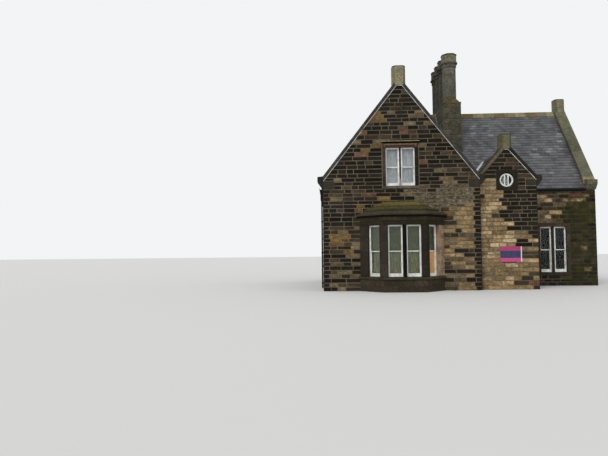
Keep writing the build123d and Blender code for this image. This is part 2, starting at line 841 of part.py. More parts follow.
def chimney_shafts():
    middle = (STACK_FRONT + STACK_BACK) / 2
    first = middle - SHAFT_SPACING * (SHAFT_COUNT - 1) / 2
    return [chimney_shaft(first + number * SHAFT_SPACING) for number in range(SHAFT_COUNT)]


# Canted bay


def bay_outline(offset):
    """The bay's plan from wall to wall, moved out of its three faces by an offset."""
    reach = BAY_PROJECTION + offset
    front = BAY_FRONT_HALF + offset * tan(pi / 8)
    side = front + reach
    return [(-side, 0), (-front, -reach), (front, -reach), (side, 0)]


def bay_core(offset, z0, z1):
    return prism_z(bay_outline(offset), z0, z1)


def bay_dwarf_wall():
    top = BAY_SILL_TOP - BAY_SILL_DEPTH
    return bay_core(0, 0, top) - bay_core(-BAY_WALL, 0, top)


def bay_sill():
    """The sill stone round the bay, weathered on its outer edge."""
    bottom = BAY_SILL_TOP - BAY_SILL_DEPTH
    nose = BAY_SILL_TOP - SILL_FALL
    sill = bay_core(BAY_SILL_PROUD, bottom, nose)
    sill += loft_z(bay_outline(BAY_SILL_PROUD), nose, bay_outline(-REVEAL), BAY_SILL_TOP)
    sill += bay_core(-REVEAL, nose, BAY_SILL_TOP)
    return sill - bay_core(-BAY_WALL, bottom, BAY_SILL_TOP)


def bay_post(points):
    return prism_z(points, BAY_SILL_TOP, BAY_HEAD)


def bay_posts():
    """Jambs at the wall, posts at the two corners and the mullion between."""
    outer = bay_outline(0)
    inner = bay_outline(-BAY_WALL)
    step = BAY_CORNER_POST
    posts = []
    for side in (-1, 1):
        wall_x = side * outer[3][0]
        wall_in = side * inner[3][0]
        corner = side * outer[2][0]
        corner_in = side * inner[2][0]
        jamb = BAY_JAMB * CANT
        thick = BAY_WALL * CANT
        cant = step * CANT
        posts.append(bay_post([
            (wall_x, 0),
            (wall_x - side * jamb, -jamb),
            (wall_x - side * (jamb + thick), -jamb + thick),
            (wall_in, 0),
        ]))
        posts.append(bay_post([
            (corner + side * cant, -BAY_PROJECTION + cant),
            (corner, -BAY_PROJECTION),
            (corner - side * step, -BAY_PROJECTION),
            (corner - side * step, -BAY_PROJECTION + BAY_WALL),
            (corner_in, -BAY_PROJECTION + BAY_WALL),
            (corner + side * (cant - thick), -BAY_PROJECTION + cant + thick),
        ]))
    half = BAY_MULLION / 2
    posts.append(block(
        -half, half, -BAY_PROJECTION, -BAY_PROJECTION + BAY_WALL, BAY_SILL_TOP, BAY_HEAD
    ))
    return posts


def bay_lights():
    """Centre, turn and width of each of the bay's four lights."""
    front_width = BAY_FRONT_HALF - BAY_CORNER_POST - BAY_MULLION / 2
    front_x = (BAY_MULLION + front_width) / 2
    cant_length = BAY_PROJECTION / CANT
    cant_width = cant_length - BAY_JAMB - BAY_CORNER_POST
    middle = (BAY_CORNER_POST + cant_width / 2) * CANT
    side_x = BAY_FRONT_HALF + middle
    side_y = -BAY_PROJECTION + middle
    return [
        (-side_x, side_y, -45, cant_width),
        (-front_x, -BAY_PROJECTION, 0, front_width),
        (front_x, -BAY_PROJECTION, 0, front_width),
        (side_x, side_y, 45, cant_width),
    ]


def bay_place(x, y, angle):
    return Location((x, y, BAY_SILL_TOP), (0, 0, angle)) * Pos(0, REVEAL, 0)


def bay_sashes():
    height = BAY_HEAD - BAY_SILL_TOP
    return [
        sash_frame(width, height).moved(bay_place(x, y, angle))
        for x, y, angle, width in bay_lights()
    ]


def bay_glass():
    """Panes of the bay, but for the boarded lower sash on its right."""
    height = BAY_HEAD - BAY_SILL_TOP
    panes = []
    for x, y, angle, width in bay_lights():
        panes += [pane.moved(bay_place(x, y, angle)) for pane in sash_panes(width, height)]
    return panes[:-1]


def bay_boarding():
    """The sheet that closes the right canted light's lower sash, seated in the sash."""
    x, y, angle, width = bay_lights()[3]
    height = BAY_HEAD - BAY_SILL_TOP
    pane = width / 2 - FRAME_FACE - SASH_STILE
    front = SASH_SETBACK + SASH_DEPTH
    sheet = block(
        -pane, pane, front, front + BOARDING,
        FRAME_FACE + BOTTOM_RAIL, height / 2 - MEETING_RAIL,
    )
    return sheet.moved(bay_place(x, y, angle))


def bay_entablature():
    """Architrave, frieze, cyma and cornice, each run round the bay's three faces."""
    ring = None
    for lower, upper, proud, over in CORNICE_STEPS:
        band = loft_z(bay_outline(proud), BAY_HEAD + lower, bay_outline(over), BAY_HEAD + upper)
        ring = band if ring is None else ring + band
    return ring - bay_core(-BAY_WALL, BAY_HEAD, BAY_EAVES)


def bay_roof_outline(share):
    """The roof's plan at a share of its rise, hipped at 45 degrees in plan."""
    start = bay_outline(BAY_ROOF_OVERHANG)
    reach0 = -start[2][1]
    side0 = start[3][0]
    reach = reach0 + (BAY_ROOF_TOP_REACH - reach0) * share
    side = side0 + (BAY_ROOF_TOP_HALF - side0) * share
    front = side - reach
    return [(-side, 0), (-front, -reach), (front, -reach), (side, 0)]


def bay_roof():
    """Stone courses, each with a square nose and a weathered back, lapped like steps."""
    rise = (BAY_ROOF_TOP - BAY_EAVES) / BAY_ROOF_COURSES
    lap = BAY_COURSE_LAP / BAY_PROJECTION
    roof = None
    for course in range(BAY_ROOF_COURSES):
        low = course / BAY_ROOF_COURSES
        high = (course + 1) / BAY_ROOF_COURSES
        bottom = BAY_EAVES + rise * course
        nose = bay_roof_outline(max(low - lap, 0))
        stone = prism_z(nose, bottom, bottom + BAY_COURSE_NOSE)
        stone += loft_z(nose, bottom + BAY_COURSE_NOSE, bay_roof_outline(high), bottom + rise)
        roof = stone if roof is None else roof + stone
    return roof


# Small pieces


def hood_outline(proud):
    """Plan of one bed of the hood, returned to the wall at both ends."""
    half = UPPER_WIDTH / 2 + HOOD_REACH * proud / HOOD_PROUD
    return [(-half, 0), (-half, -proud), (half, -proud), (half, 0)]


def hood_mould():
    """The moulded hood over the upper front window under a weathered drip course."""
    hood = None
    for lower, upper, proud, over in HOOD_STEPS:
        bed = loft_z(hood_outline(proud), UPPER_HEAD + lower, hood_outline(over), UPPER_HEAD + upper)
        hood = bed if hood is None else hood + bed
    low = UPPER_HEAD + HOOD_STEPS[-1][1]
    high = low + HOOD_BAND
    half = UPPER_WIDTH / 2 + HOOD_REACH
    drip = [(-HOOD_PROUD, low), (0, low), (0, high), (-HOOD_PROUD, high - HOOD_FALL)]
    return hood + prism_x(drip, -half, half)


def surround_block(proud):
    """The square stone of the round window, as it stands in the wall."""
    half = SURROUND_WIDTH / 2
    rise = SURROUND_HEIGHT / 2
    return block(
        STAIR_AXIS - half, STAIR_AXIS + half,
        STAIR_SETBACK - proud, STAIR_SETBACK + WALL,
        round_window_height() - rise, round_window_height() + rise,
    )


def round_core(radius, y0, y1):
    turned = Solid.make_cylinder(radius, y1 - y0)
    return turned.moved(Location((STAIR_AXIS, y1, round_window_height()), (90, 0, 0)))


def round_window_surround():
    """The stone pierced by the round light, with a splayed outer edge."""
    face = STAIR_SETBACK - SURROUND_PROUD
    splay = Solid.make_cone(ROUND_RADIUS, ROUND_RADIUS + ROUND_SPLAY, ROUND_SPLAY)
    splay = splay.moved(Location((STAIR_AXIS, face + ROUND_SPLAY, round_window_height()), (90, 0, 0)))
    stone = surround_block(SURROUND_PROUD) - round_core(ROUND_RADIUS, face, STAIR_SETBACK + WALL)
    return stone - splay


def round_bars(y0, y1):
    radius = ROUND_RADIUS - ROUND_FRAME / 2
    bars = []
    for side in (-1, 1):
        x = STAIR_AXIS + side * ROUND_BAR_OFFSET
        bars.append(block(
            x - ROUND_BAR / 2, x + ROUND_BAR / 2, y0, y1,
            round_window_height() - radius, round_window_height() + radius,
        ))
    return bars


def round_window_frame():
    """The white ring and its two upright bars."""
    y0 = STAIR_SETBACK + ROUND_SPLAY
    y1 = y0 + FRAME_DEPTH
    ring = round_core(ROUND_RADIUS, y0, y1) - round_core(ROUND_RADIUS - ROUND_FRAME, y0, y1)
    for bar in round_bars(y0, y1):
        ring += bar & round_core(ROUND_RADIUS - ROUND_FRAME / 2, y0, y1)
    return ring


def round_glass():
    """The three panes between the ring and its bars."""
    y0 = STAIR_SETBACK + ROUND_SPLAY + FRAME_DEPTH / 2
    disc = round_core(ROUND_RADIUS - ROUND_FRAME, y0, y0 + GLASS)
    return [trim_by(disc, round_bars(y0, y0 + GLASS))]


def notice_board():
    top = BOARD_CENTRE + BOARD_HEIGHT / 2
    middle = STAIR_AXIS + BOARD_SHIFT
    return block(
        middle - BOARD_WIDTH / 2, middle + BOARD_WIDTH / 2,
        STAIR_SETBACK - BOARD_THICKNESS, STAIR_SETBACK,
        top - BOARD_HEIGHT, top,
    )


def door_lintel():
    half = DOOR_WIDTH / 2 + BEARING
    bottom = FLOOR_TOP + DOOR_HEIGHT
    return block(DOOR_X - half, DOOR_X + half, INNER_BACK, RANGE_BACK, bottom, bottom + LINTEL_DEPTH)


def rear_door_frame():
    half = DOOR_WIDTH / 2
    inner = half - DOOR_FRAME
    top = FLOOR_TOP + DOOR_HEIGHT
    y1 = RANGE_BACK - REVEAL
    y0 = y1 - FRAME_DEPTH
    frame = block(DOOR_X - half, DOOR_X + half, y0, y1, FLOOR_TOP, top)
    return frame - block(DOOR_X - inner, DOOR_X + inner, y0, y1, FLOOR_TOP, top - DOOR_FRAME)


def rear_door():
    half = DOOR_WIDTH / 2 - DOOR_FRAME
    top = FLOOR_TOP + DOOR_HEIGHT - DOOR_FRAME
    y1 = RANGE_BACK - REVEAL - DOOR_SETBACK
    return block(DOOR_X - half, DOOR_X + half, y1 - DOOR_LEAF, y1, FLOOR_TOP, top)


def gutter_section(side):
    """A moulded gutter's section, out from the slates' edge and down from its rim."""
    wall = GUTTER_WALL
    width = GUTTER_WIDTH
    height = GUTTER_HEIGHT
    outline = [
        (0, 0), (0, -height), (GUTTER_FLAT, -height), (GUTTER_SWELL, -GUTTER_SWELL_DROP), (width, 0),
        (width - wall, 0), (GUTTER_SWELL - wall, -GUTTER_SWELL_DROP + wall / 2),
        (GUTTER_FLAT - wall / 2, -height + wall), (wall, -height + wall), (wall, 0),
    ]
    return [(side * reach, z) for reach, z in outline]


def gutter_top(eaves, slope):
    return slate_top(eaves) - slope * EAVES_OVERHANG - GUTTER_DROP


def gutter_x(x0, x1, y, side, z):
    return prism_x([(y + reach, z + up) for reach, up in gutter_section(side)], x0, x1)


def gutter_y(y0, y1, x, side, z):
    return prism_y([(x + reach, z + up) for reach, up in gutter_section(side)], y0, y1)


def gutters():
    """Gutters at the four eaves."""
    main_z = gutter_top(GABLE_EAVES, MAIN_SLOPE)
    range_z = gutter_top(GABLE_EAVES, RANGE_SLOPE)
    stair_z = gutter_top(STAIR_EAVES, STAIR_SLOPE)
    inside = RANGE_RIGHT - WALL
    stair_edge = STAIR_RIGHT + EAVES_OVERHANG
    front_edge = RANGE_SETBACK - EAVES_OVERHANG
    clear = GUTTER_WIDTH + GUTTER_CLEAR
    return [
        gutter_y(WALL, INNER_BACK, -MAIN_HALF - EAVES_OVERHANG, -1, main_z),
        gutter_y(STAIR_SETBACK + WALL, front_edge - clear, stair_edge, 1, stair_z),
        gutter_x(stair_edge, inside, front_edge, -1, range_z),
        gutter_x(MAIN_HALF, inside, RANGE_BACK + EAVES_OVERHANG, 1, range_z),
    ]


def collar(x, y, z, angle):
    """A band round a pipe with two lugs that bear on the wall."""
    reach = PIPE_RADIUS + PIPE_STANDOFF
    half = PIPE_RADIUS + LUG_REACH
    low = (COLLAR_HEIGHT - LUG_HEIGHT) / 2
    band = prism_z(regular(COLLAR_SIDES, COLLAR_WIDTH, 0, 0), 0, COLLAR_HEIGHT)
    lugs = block(-half, half, 0, reach, low, low + LUG_HEIGHT)
    return (band + lugs).moved(Location((x, y, z), (0, 0, angle)))


def downpipe(wall_x, wall_y, out_x, out_y, gutter_z, angle):
    """A pipe that swans back from the gutter to the wall and runs down to the ground."""
    stand = PIPE_RADIUS + PIPE_STANDOFF
    reach = EAVES_OVERHANG + PIPE_OUTLET
    top = gutter_z - GUTTER_HEIGHT
    bend = top - PIPE_NECK
    near = (wall_x + out_x * stand, wall_y + out_y * stand)
    far = (wall_x + out_x * reach, wall_y + out_y * reach)
    path = Wire.make_polygon([
        (*far, top),
        (*far, bend),
        (*near, bend - (reach - stand)),
        (*near, PIPE_FOOT),
    ], close=False)
    start = Plane(origin=path.start_point(), z_dir=(0, 0, -1))
    pipe = Solid.sweep(Face(Wire.make_circle(PIPE_RADIUS, start)), path, transition=Transition.RIGHT)
    height = COLLAR_FIRST
    while height < top - COLLAR_CLEAR:
        pipe += collar(*near, height, angle)
        height += COLLAR_STEP
    return pipe


def downpipes():
    main_z = gutter_top(GABLE_EAVES, MAIN_SLOPE)
    range_z = gutter_top(GABLE_EAVES, RANGE_SLOPE)
    step = PIPE_INSET
    return [
        downpipe(-MAIN_HALF, WALL + step, -1, 0, main_z, -90),
        downpipe(-MAIN_HALF, INNER_BACK - step, -1, 0, main_z, -90),
        downpipe(RANGE_RIGHT - WALL - step, RANGE_BACK, 0, 1, range_z, 180),
        downpipe(MAIN_HALF + step, RANGE_BACK, 0, 1, range_z, 180),
        downpipe(STAIR_RIGHT + EAVES_OVERHANG + step, RANGE_SETBACK, 0, -1, range_z, 0),
    ]


def gather(pick):
    found = []
    for window in WINDOWS:
        found += pick(window)
    return found


def build_nodes():
    front = next(window for window in WINDOWS if window.wall == "main_front_wall")
    return {
        "main_front_wall": main_front_wall(),
        "main_left_wall": main_left_wall(),
        "main_rear_wall": main_rear_wall(),
        "spine_wall": spine_wall(),
        "range_front_wall": range_front_wall(),
        "range_gable_wall": range_gable_wall(),
        "range_rear_wall": range_rear_wall(),
        "stair_bay_walls": stair_bay_walls(),
        "stair_bay_beam": stair_bay_beam(),
        "ground_floor": ground_floor(),
        "upper_floor": upper_floor(),
        "main_roof": main_roof(),
        "range_roof": range_roof(),
        "stair_bay_roof": stair_bay_roof(),
        "ridge_stones": ridge_stones(),
        "main_copings": main_copings(),
        "range_gable_coping": range_gable_coping(),
        "stair_bay_coping": stair_bay_coping(),
        "kneelers": kneelers(),
        "finials": finials(),
        "chimney_breast": chimney_breast_block(),
        "chimney_shafts": chimney_shafts(),
        "bay_dwarf_wall": bay_dwarf_wall(),
        "bay_sill": bay_sill(),
        "bay_posts": bay_posts(),
        "bay_entablature": bay_entablature(),
        "bay_roof": bay_roof(),
        "bay_sashes": bay_sashes(),
        "bay_glass": bay_glass(),
        "bay_boarding": bay_boarding(),
        "upper_sashes": gather(lambda window: window.sashes() if window.upper() else []),
        "upper_glass": gather(lambda window: window.glass() if window.upper() else []) + round_glass(),
        "lower_sashes": gather(lambda window: [] if window.upper() else window.sashes()),
        "lower_glass": gather(lambda window: [] if window.upper() else window.glass()),
        "window_lintels": gather(lambda window: [window.lintel()]) + [door_lintel()],
        "window_sills": gather(lambda window: [window.sill_stone()]),
        "window_mullions": gather(lambda window: [window.mullion_stone()]),
        "hood_mould": hood_mould(),
        "round_window_surround": round_window_surround(),
        "round_window_frame": round_window_frame(),
        "notice_board": notice_board(),
        "gutters": gutters(),
        "downpipes": downpipes(),
        "rear_door": rear_door(),
        "rear_door_frame": rear_door_frame(),
    }


def flat_solids(shape):
    if isinstance(shape, list):
        found = []
        for item in shape:
            found += flat_solids(item)
        return found
    return list(shape.solids())


def main():
    os.makedirs("parts", exist_ok=True)
    nodes = {name: flat_solids(shape) for name, shape in build_nodes().items()}
    everything = Compound([solid for solids in nodes.values() for solid in solids])
    box = everything.bounding_box()
    middle = box.center()
    shift = Location((-middle.X, -middle.Y, 0))
    print("size", box.size, "shift", -middle.X, -middle.Y, "lowest", box.min.Z)
    for name, solids in nodes.items():
        placed = [solid.moved(shift) for solid in solids]
        shape = placed[0] if len(placed) == 1 else Compound(placed)
        export_step(shape, f"parts/{name}.step")


if __name__ == "__main__":
    main()
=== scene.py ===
"""Finishes for a small railway station house: its stones, slates, joinery, iron and cloth."""

import math
import random

import bmesh
import bpy
from bpy.props import FloatProperty, FloatVectorProperty, PointerProperty
from mathutils import Matrix, Vector


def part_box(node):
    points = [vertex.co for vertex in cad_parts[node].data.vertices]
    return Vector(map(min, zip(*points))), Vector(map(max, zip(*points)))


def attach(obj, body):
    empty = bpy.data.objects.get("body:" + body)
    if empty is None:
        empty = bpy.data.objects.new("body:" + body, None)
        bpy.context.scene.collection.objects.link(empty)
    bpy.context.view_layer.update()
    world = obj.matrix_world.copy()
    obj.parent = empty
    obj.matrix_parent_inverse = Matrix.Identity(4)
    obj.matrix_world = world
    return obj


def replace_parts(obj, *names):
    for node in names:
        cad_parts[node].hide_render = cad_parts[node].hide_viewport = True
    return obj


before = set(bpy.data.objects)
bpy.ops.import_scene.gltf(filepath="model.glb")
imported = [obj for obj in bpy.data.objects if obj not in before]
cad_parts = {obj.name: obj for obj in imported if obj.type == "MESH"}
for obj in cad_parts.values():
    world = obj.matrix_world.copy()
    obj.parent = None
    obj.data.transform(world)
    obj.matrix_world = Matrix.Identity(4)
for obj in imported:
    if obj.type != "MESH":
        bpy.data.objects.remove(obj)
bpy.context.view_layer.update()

bl_info = {
    "name": "Station house finishes",
    "version": (1, 0, 0),
    "blender": (4, 5, 0),
    "location": "3D View > Sidebar > Station",
    "description": "Lays the stones and slates of a small railway station and fits its windows",
    "category": "Add Mesh",
}

# Places

# The drawing's origin is the foot of the main gable's centre line, on the face of its wall, with
# x to the right and y into the building, as in the part's source. Sizes are in metres.
WALL_LOW, WALL_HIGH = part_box("main_front_wall")
PLACE = Matrix.Translation(((WALL_LOW.x + WALL_HIGH.x) / 2, WALL_LOW.y, 0))
UNTURNED = Matrix.Identity(4)
ACROSS, INWARDS, UPWARDS = Vector((1, 0, 0)), Vector((0, 1, 0)), Vector((0, 0, 1))

# The thickness of the walls, half the main block's width, and the faces of the range and the
# stair bay, outside and inside.
WALL = 0.5
MAIN_HALF = 3.685
RANGE_FRONT, RANGE_BACK, RANGE_RIGHT = 2.7, 9.5, 10.285
STAIR_FRONT, STAIR_RIGHT = 0.35, 6.435
INSIDE_BACK, INSIDE_RIGHT = RANGE_BACK - WALL, RANGE_RIGHT - WALL
# How far back the stair bay's roof runs, into the range's.
STAIR_ROOF_END = 3.9
# Each gable's axis, the height of its apex and its slope. The slates lie SETDOWN below.
MAIN_GABLE = (0, 9.95, 1.2836)
RANGE_GABLE = (6.1, 9.95, 1.3912)
STAIR_GABLE = (5.06, 6.77, 1.149)
RANGE_AXIS, STAIR_AXIS = RANGE_GABLE[0], STAIR_GABLE[0]
SETDOWN = 0.12
# How far the slates' feet stand out from the walls.
EAVE = 0.07
# The stack's sides, its front and back, and its top.
STACK = (2.945, 3.925, 4.09, 7.95, 10.04)
# Holes in the coursed stones: left, right, low and high on the wall's own face.
ROUND_STONE = (4.56, 5.56, 4.715, 5.675)
BOARD = (4.68, 5.64, 1.325, 2.005)
MAIN_SPRINGERS = [(-3.685, -3.16, 4.81, 5.235), (3.16, 3.685, 4.81, 5.235)]
STAIR_SPRINGERS = [(5.92, 6.435, 4.9, 5.22)]

# Each window's width, sill and head, then where each one is: x, y and the turn of its wall.
UPPER = (1.39, 4.97, 6.79)
LOWER = (1.33, 0.70, 3.04)
WINDOWS = [
    ("front_upper", 0, 0, 0, UPPER),
    ("left_lower", -MAIN_HALF, 4.75, -90, LOWER),
    ("rear_upper", 0, RANGE_BACK, 180, UPPER),
    ("rear_lower", 0, RANGE_BACK, 180, LOWER),
    ("range_front", 8.135, RANGE_FRONT, 0, LOWER),
    ("gable_upper", RANGE_RIGHT, RANGE_AXIS, 90, UPPER),
    ("gable_lower", RANGE_RIGHT, RANGE_AXIS, 90, LOWER),
    ("range_rear", 7.8175, RANGE_BACK, 180, LOWER),
]
# Windows with a sill above this height are upstairs.
UPSTAIRS = 3
# The width of a jamb and the heights of a window's head and sill.
JAMB, LINTEL, SILL = 0.17, 0.175, 0.16
# The rear door's centre on its wall, seen from outside, its half width and its height.
DOOR_CENTRE, DOOR_HALF, DOOR_HEAD = -5.35, 0.475, 2.25
# Each light of the bay: where its centre is on the outer face, its turn and its width.
BAY_LIGHTS = [(-1.3778, -0.5972, -45, 0.6892), (-0.41625, -1.0, 0, 0.6675),
              (0.41625, -1.0, 0, 0.6675), (1.3778, -0.5972, 45, 0.6892)]

# The camera, fitted to the photograph: where it stands in the drawing, its turns in degrees, and
# its focal length in pixels of the photograph's width.
CAMERA_PLACE = (-3.432, -24.853, 1.9)
CAMERA_YAW, CAMERA_PITCH, CAMERA_ROLL = 2.706, 2.545, -0.581
FOCAL_PIXELS, PHOTO_PIXELS, FILM_WIDTH = 523.4, 608, 36
# The sun's turns and its breadth in the sky, in degrees, then half the floor's width and how far
# it lies below the ground.
SUN_TURN, SUN_SPREAD = (48, 0, -28), 25
FLOOR_REACH, FLOOR_DROP = 150, 0.002


def on_wall(x, y, angle):
    """Turns a face drawn on y = 0, seen from -y, on to a wall through a point."""
    return Matrix.Translation((x, y, 0)) @ Matrix.Rotation(math.radians(angle), 4, "Z")


def around(window, across=0):
    """The hole that a window's dressings leave in the coursed stones."""
    width, sill, head = window
    return (across - width / 2 - JAMB, across + width / 2 + JAMB, sill - SILL, head + LINTEL)


def slates_at(gable, across):
    """Height of a roof's slates at a distance across its ridge."""
    axis, apex, slope = gable
    return apex - SETDOWN - slope * abs(across - axis)


def in_stack(point):
    return STACK[0] < point.x < STACK[1] and STACK[2] < point.y < STACK[3]


# Colours and materials

# The range's front is dry up to the first of these places and damp past the second, and so is
# the end of the gable wall beside it.
DAMP_FRONT = ("X", PLACE.translation.x + 8.2, PLACE.translation.x + 9.0)
DAMP_CORNER = ("Y", PLACE.translation.y + 3.4, PLACE.translation.y + 2.8)


def hex_colour(text, alpha=1.0):
    """Linear colour of an sRGB hex value."""
    parts = [int(text[i:i + 2], 16) / 255 for i in (1, 3, 5)]
    return tuple(p / 12.92 if p <= 0.04045 else ((p + 0.055) / 1.055) ** 2.4 for p in parts) + (alpha,)


def grey(level):
    return (level, level, level, 1.0)


def mixed(a, b, share):
    return tuple(x + (y - x) * share for x, y in zip(a, b))


def shade(rng, low, high):
    """A colour somewhere between two hex values."""
    return mixed(hex_colour(low), hex_colour(high), rng.random())


def per_metre(size_mm):
    """Texture scale that gives features of about that size."""
    return 1000 / size_mm


def plain_value(value):
    """A value as a node takes it, which turns hex text to its colour."""
    return hex_colour(value) if isinstance(value, str) else value


def add_node(tree, kind, settings=None, **sockets):
    """Adds a node with its settings, and what its sockets take: a hex colour, a value, or a link.

    A node that is linked gives its first output in use. A list fills sockets of the same name.
    """
    made = tree.nodes.new("ShaderNode" + kind)
    for name, value in (settings or {}).items():
        if name == "stops":
            stops = [(place, plain_value(colour)) for place, colour in value]
            ramp = made.color_ramp.elements
            ramp[0].position, ramp[0].color = stops[0]
            ramp[-1].position, ramp[-1].color = stops[-1]
            for place, colour in stops[1:-1]:
                ramp.new(place).color = colour
        else:
            setattr(made, name, value)
    for name, values in sockets.items():
        label = name.replace("_", " ")
        named = [socket for socket in made.inputs if socket.name == label and socket.enabled]
        for socket, value in zip(named, values if isinstance(values, list) else [values]):
            if isinstance(value, bpy.types.Node):
                value = next(output for output in value.outputs if output.enabled)
            if isinstance(value, bpy.types.NodeSocket):
                tree.links.new(value, socket)
            else:
                socket.default_value = plain_value(value)
    return made


BLEND = {"data_type": "RGBA"}
TIMES = {"data_type": "RGBA", "blend_type": "MULTIPLY"}
PRODUCT = {"operation": "MULTIPLY"}
LARGER = {"operation": "MAXIMUM"}


def only_beyond(tree, place, share, reach):
    """Lets a share through only past a place along an axis, with a soft start."""
    axis, dry, wet = reach
    across = add_node(tree, "SeparateXYZ", Vector=place).outputs[axis]
    start = add_node(tree, "MapRange", Value=across, From_Min=dry, From_Max=wet)
    return add_node(tree, "Math", PRODUCT, Value=[share, start])


def weathered_stone(tree, grain_mm, grain_depth, relief_mm, relief_depth, soot, moss, moss_hex,
                    moss_mm=160, damp=0.12, damp_from=None):
    """Sandstone in the open: the block's own tint, sooty patches, and moss where rain lies."""
    place = add_node(tree, "TexCoord").outputs["Object"]
    tint = add_node(tree, "Attribute", {"attribute_name": "tint"})
    grain = add_node(tree, "TexNoise", Vector=place, Scale=per_metre(grain_mm), Detail=6.0, Roughness=0.65)
    bedding = add_node(tree, "Mapping", Vector=place, Scale=(0.45, 0.45, 1.0))
    relief = add_node(tree, "TexNoise", Vector=bedding, Scale=per_metre(relief_mm), Detail=5.0,
                      Roughness=0.6)
    light = add_node(tree, "ValToRGB", {"stops": [(0.3, grey(0.5)), (0.52, grey(1.0)), (0.75, grey(1.9))]},
                     Fac=relief)
    body = add_node(tree, "Mix", TIMES, Factor=0.8, A=tint, B=light)
    # Iron in the stone: blue-grey where there is none, and rusty where it has come out.
    iron = add_node(tree, "TexNoise", Vector=bedding, Scale=per_metre(140), Detail=5.0, Roughness=0.7)
    rusty = add_node(tree, "ValToRGB", {"stops": [
        (0.36, (0.82, 0.92, 1.0, 1.0)), (0.5, grey(1.0)), (0.64, (1.3, 1.0, 0.7, 1.0))]}, Fac=iron)
    body = add_node(tree, "Mix", TIMES, Factor=0.7, A=body, B=rusty)
    # Blocks tinted near black, as the painted shadows under the drips are, take neither more soot nor moss.
    outside_near_black = add_node(tree, "MapRange", Value=tint.outputs["Fac"], From_Min=0.0015, From_Max=0.003)
    soot = add_node(tree, "Math", PRODUCT, Value=[outside_near_black, soot])
    moss = add_node(tree, "Math", PRODUCT, Value=[outside_near_black, moss])
    # Faces that have flaked off in lumps, where the block's alpha says so.
    spall = add_node(tree, "TexNoise", Vector=bedding, Scale=per_metre(60), Detail=5.0, Roughness=0.7)
    flakes = add_node(tree, "ValToRGB", {"stops": [(0.38, "#2a241e"), (0.5, "#5f5444"), (0.64, "#988c73")]},
                      Fac=spall)
    flaked = add_node(tree, "MapRange", Value=tint.outputs["Alpha"], To_Min=0.75, To_Max=0.0)
    body = add_node(tree, "Mix", BLEND, Factor=flaked, A=body, B=flakes)
    cloud = add_node(tree, "TexNoise", Vector=place, Scale=per_metre(320), Detail=6.0, Roughness=0.7)
    sooty = add_node(tree, "MapRange", Value=cloud, From_Min=0.45, From_Max=0.62, To_Max=soot)
    dark = add_node(tree, "Mix", BLEND, Factor=sooty, A=body, B="#1b1815")
    # Moss grows in patches, mostly on upper faces.
    normal = add_node(tree, "NewGeometry").outputs["Normal"]
    up = add_node(tree, "SeparateXYZ", Vector=normal).outputs["Z"]
    wet = add_node(tree, "MapRange", Value=up, From_Min=-0.1, From_Max=0.8, To_Min=damp, To_Max=1.0)
    growth = add_node(tree, "TexNoise", Vector=place, Scale=per_metre(moss_mm), Detail=6.0, Roughness=0.7)
    spread = add_node(tree, "MapRange", Value=growth, From_Min=0.4, From_Max=0.62, To_Max=moss)
    mossy = add_node(tree, "Math", PRODUCT, Value=[wet, spread])
    if damp_from:
        mossy = only_beyond(tree, place, mossy, damp_from)
    colour = add_node(tree, "Mix", BLEND, Factor=mossy, A=dark, B=moss_hex)
    rough = add_node(tree, "Bump", Strength=0.6, Distance=relief_depth, Height=relief)
    fine = add_node(tree, "Bump", Strength=0.5, Distance=grain_depth, Height=grain, Normal=rough)
    return add_node(tree, "BsdfPrincipled", Base_Color=colour, Normal=fine, Roughness=0.9, IOR=1.5,
                    Specular_IOR_Level=0.15)


def lime_mortar(tree, low, middle, high, damp_from=None):
    """Lime and sand pointing, brushed off flush: pale, gritty and with sooty stains."""
    place = add_node(tree, "TexCoord").outputs["Object"]
    cloud = add_node(tree, "TexNoise", Vector=place, Scale=per_metre(700), Detail=5.0, Roughness=0.65)
    grit = add_node(tree, "TexNoise", Vector=place, Scale=per_metre(4), Detail=3.0, Roughness=0.6)
    colour = add_node(tree, "ValToRGB", {"stops": [(0.32, low), (0.5, middle), (0.68, high)]}, Fac=cloud)
    if damp_from:
        growth = add_node(tree, "TexNoise", Vector=place, Scale=per_metre(300), Detail=6.0, Roughness=0.7)
        spread = add_node(tree, "Math", {"operation": "MULTIPLY", "use_clamp": True}, Value=[growth, 1.8])
        mossy = only_beyond(tree, place, spread, damp_from)
        colour = add_node(tree, "Mix", BLEND, Factor=mossy, A=colour, B="#2f2d18")
    bump = add_node(tree, "Bump", Strength=0.4, Distance=0.002, Height=grit)
    return add_node(tree, "BsdfPrincipled", Base_Color=colour, Normal=bump, Roughness=0.95)


def riven_slate(tree):
    """Slate split by hand: fine ridges across each slate and a faint sheen on the flat."""
    place = add_node(tree, "TexCoord").outputs["Object"]
    tint = add_node(tree, "Attribute", {"attribute_name": "tint"})
    rive = add_node(tree, "TexNoise", Vector=place, Scale=per_metre(70), Detail=7.0, Roughness=0.6)
    cloud = add_node(tree, "TexNoise", Vector=place, Scale=per_metre(1100), Detail=5.0, Roughness=0.6)
    light = add_node(tree, "ValToRGB", {"stops": [(0.3, grey(0.72)), (0.5, grey(1.0)), (0.72, grey(1.35))]},
                     Fac=cloud)
    colour = add_node(tree, "Mix", TIMES, Factor=0.8, A=tint, B=light)
    bump = add_node(tree, "Bump", Strength=0.5, Distance=0.003, Height=rive)
    return add_node(tree, "BsdfPrincipled", Base_Color=colour, Normal=bump, Roughness=0.6)


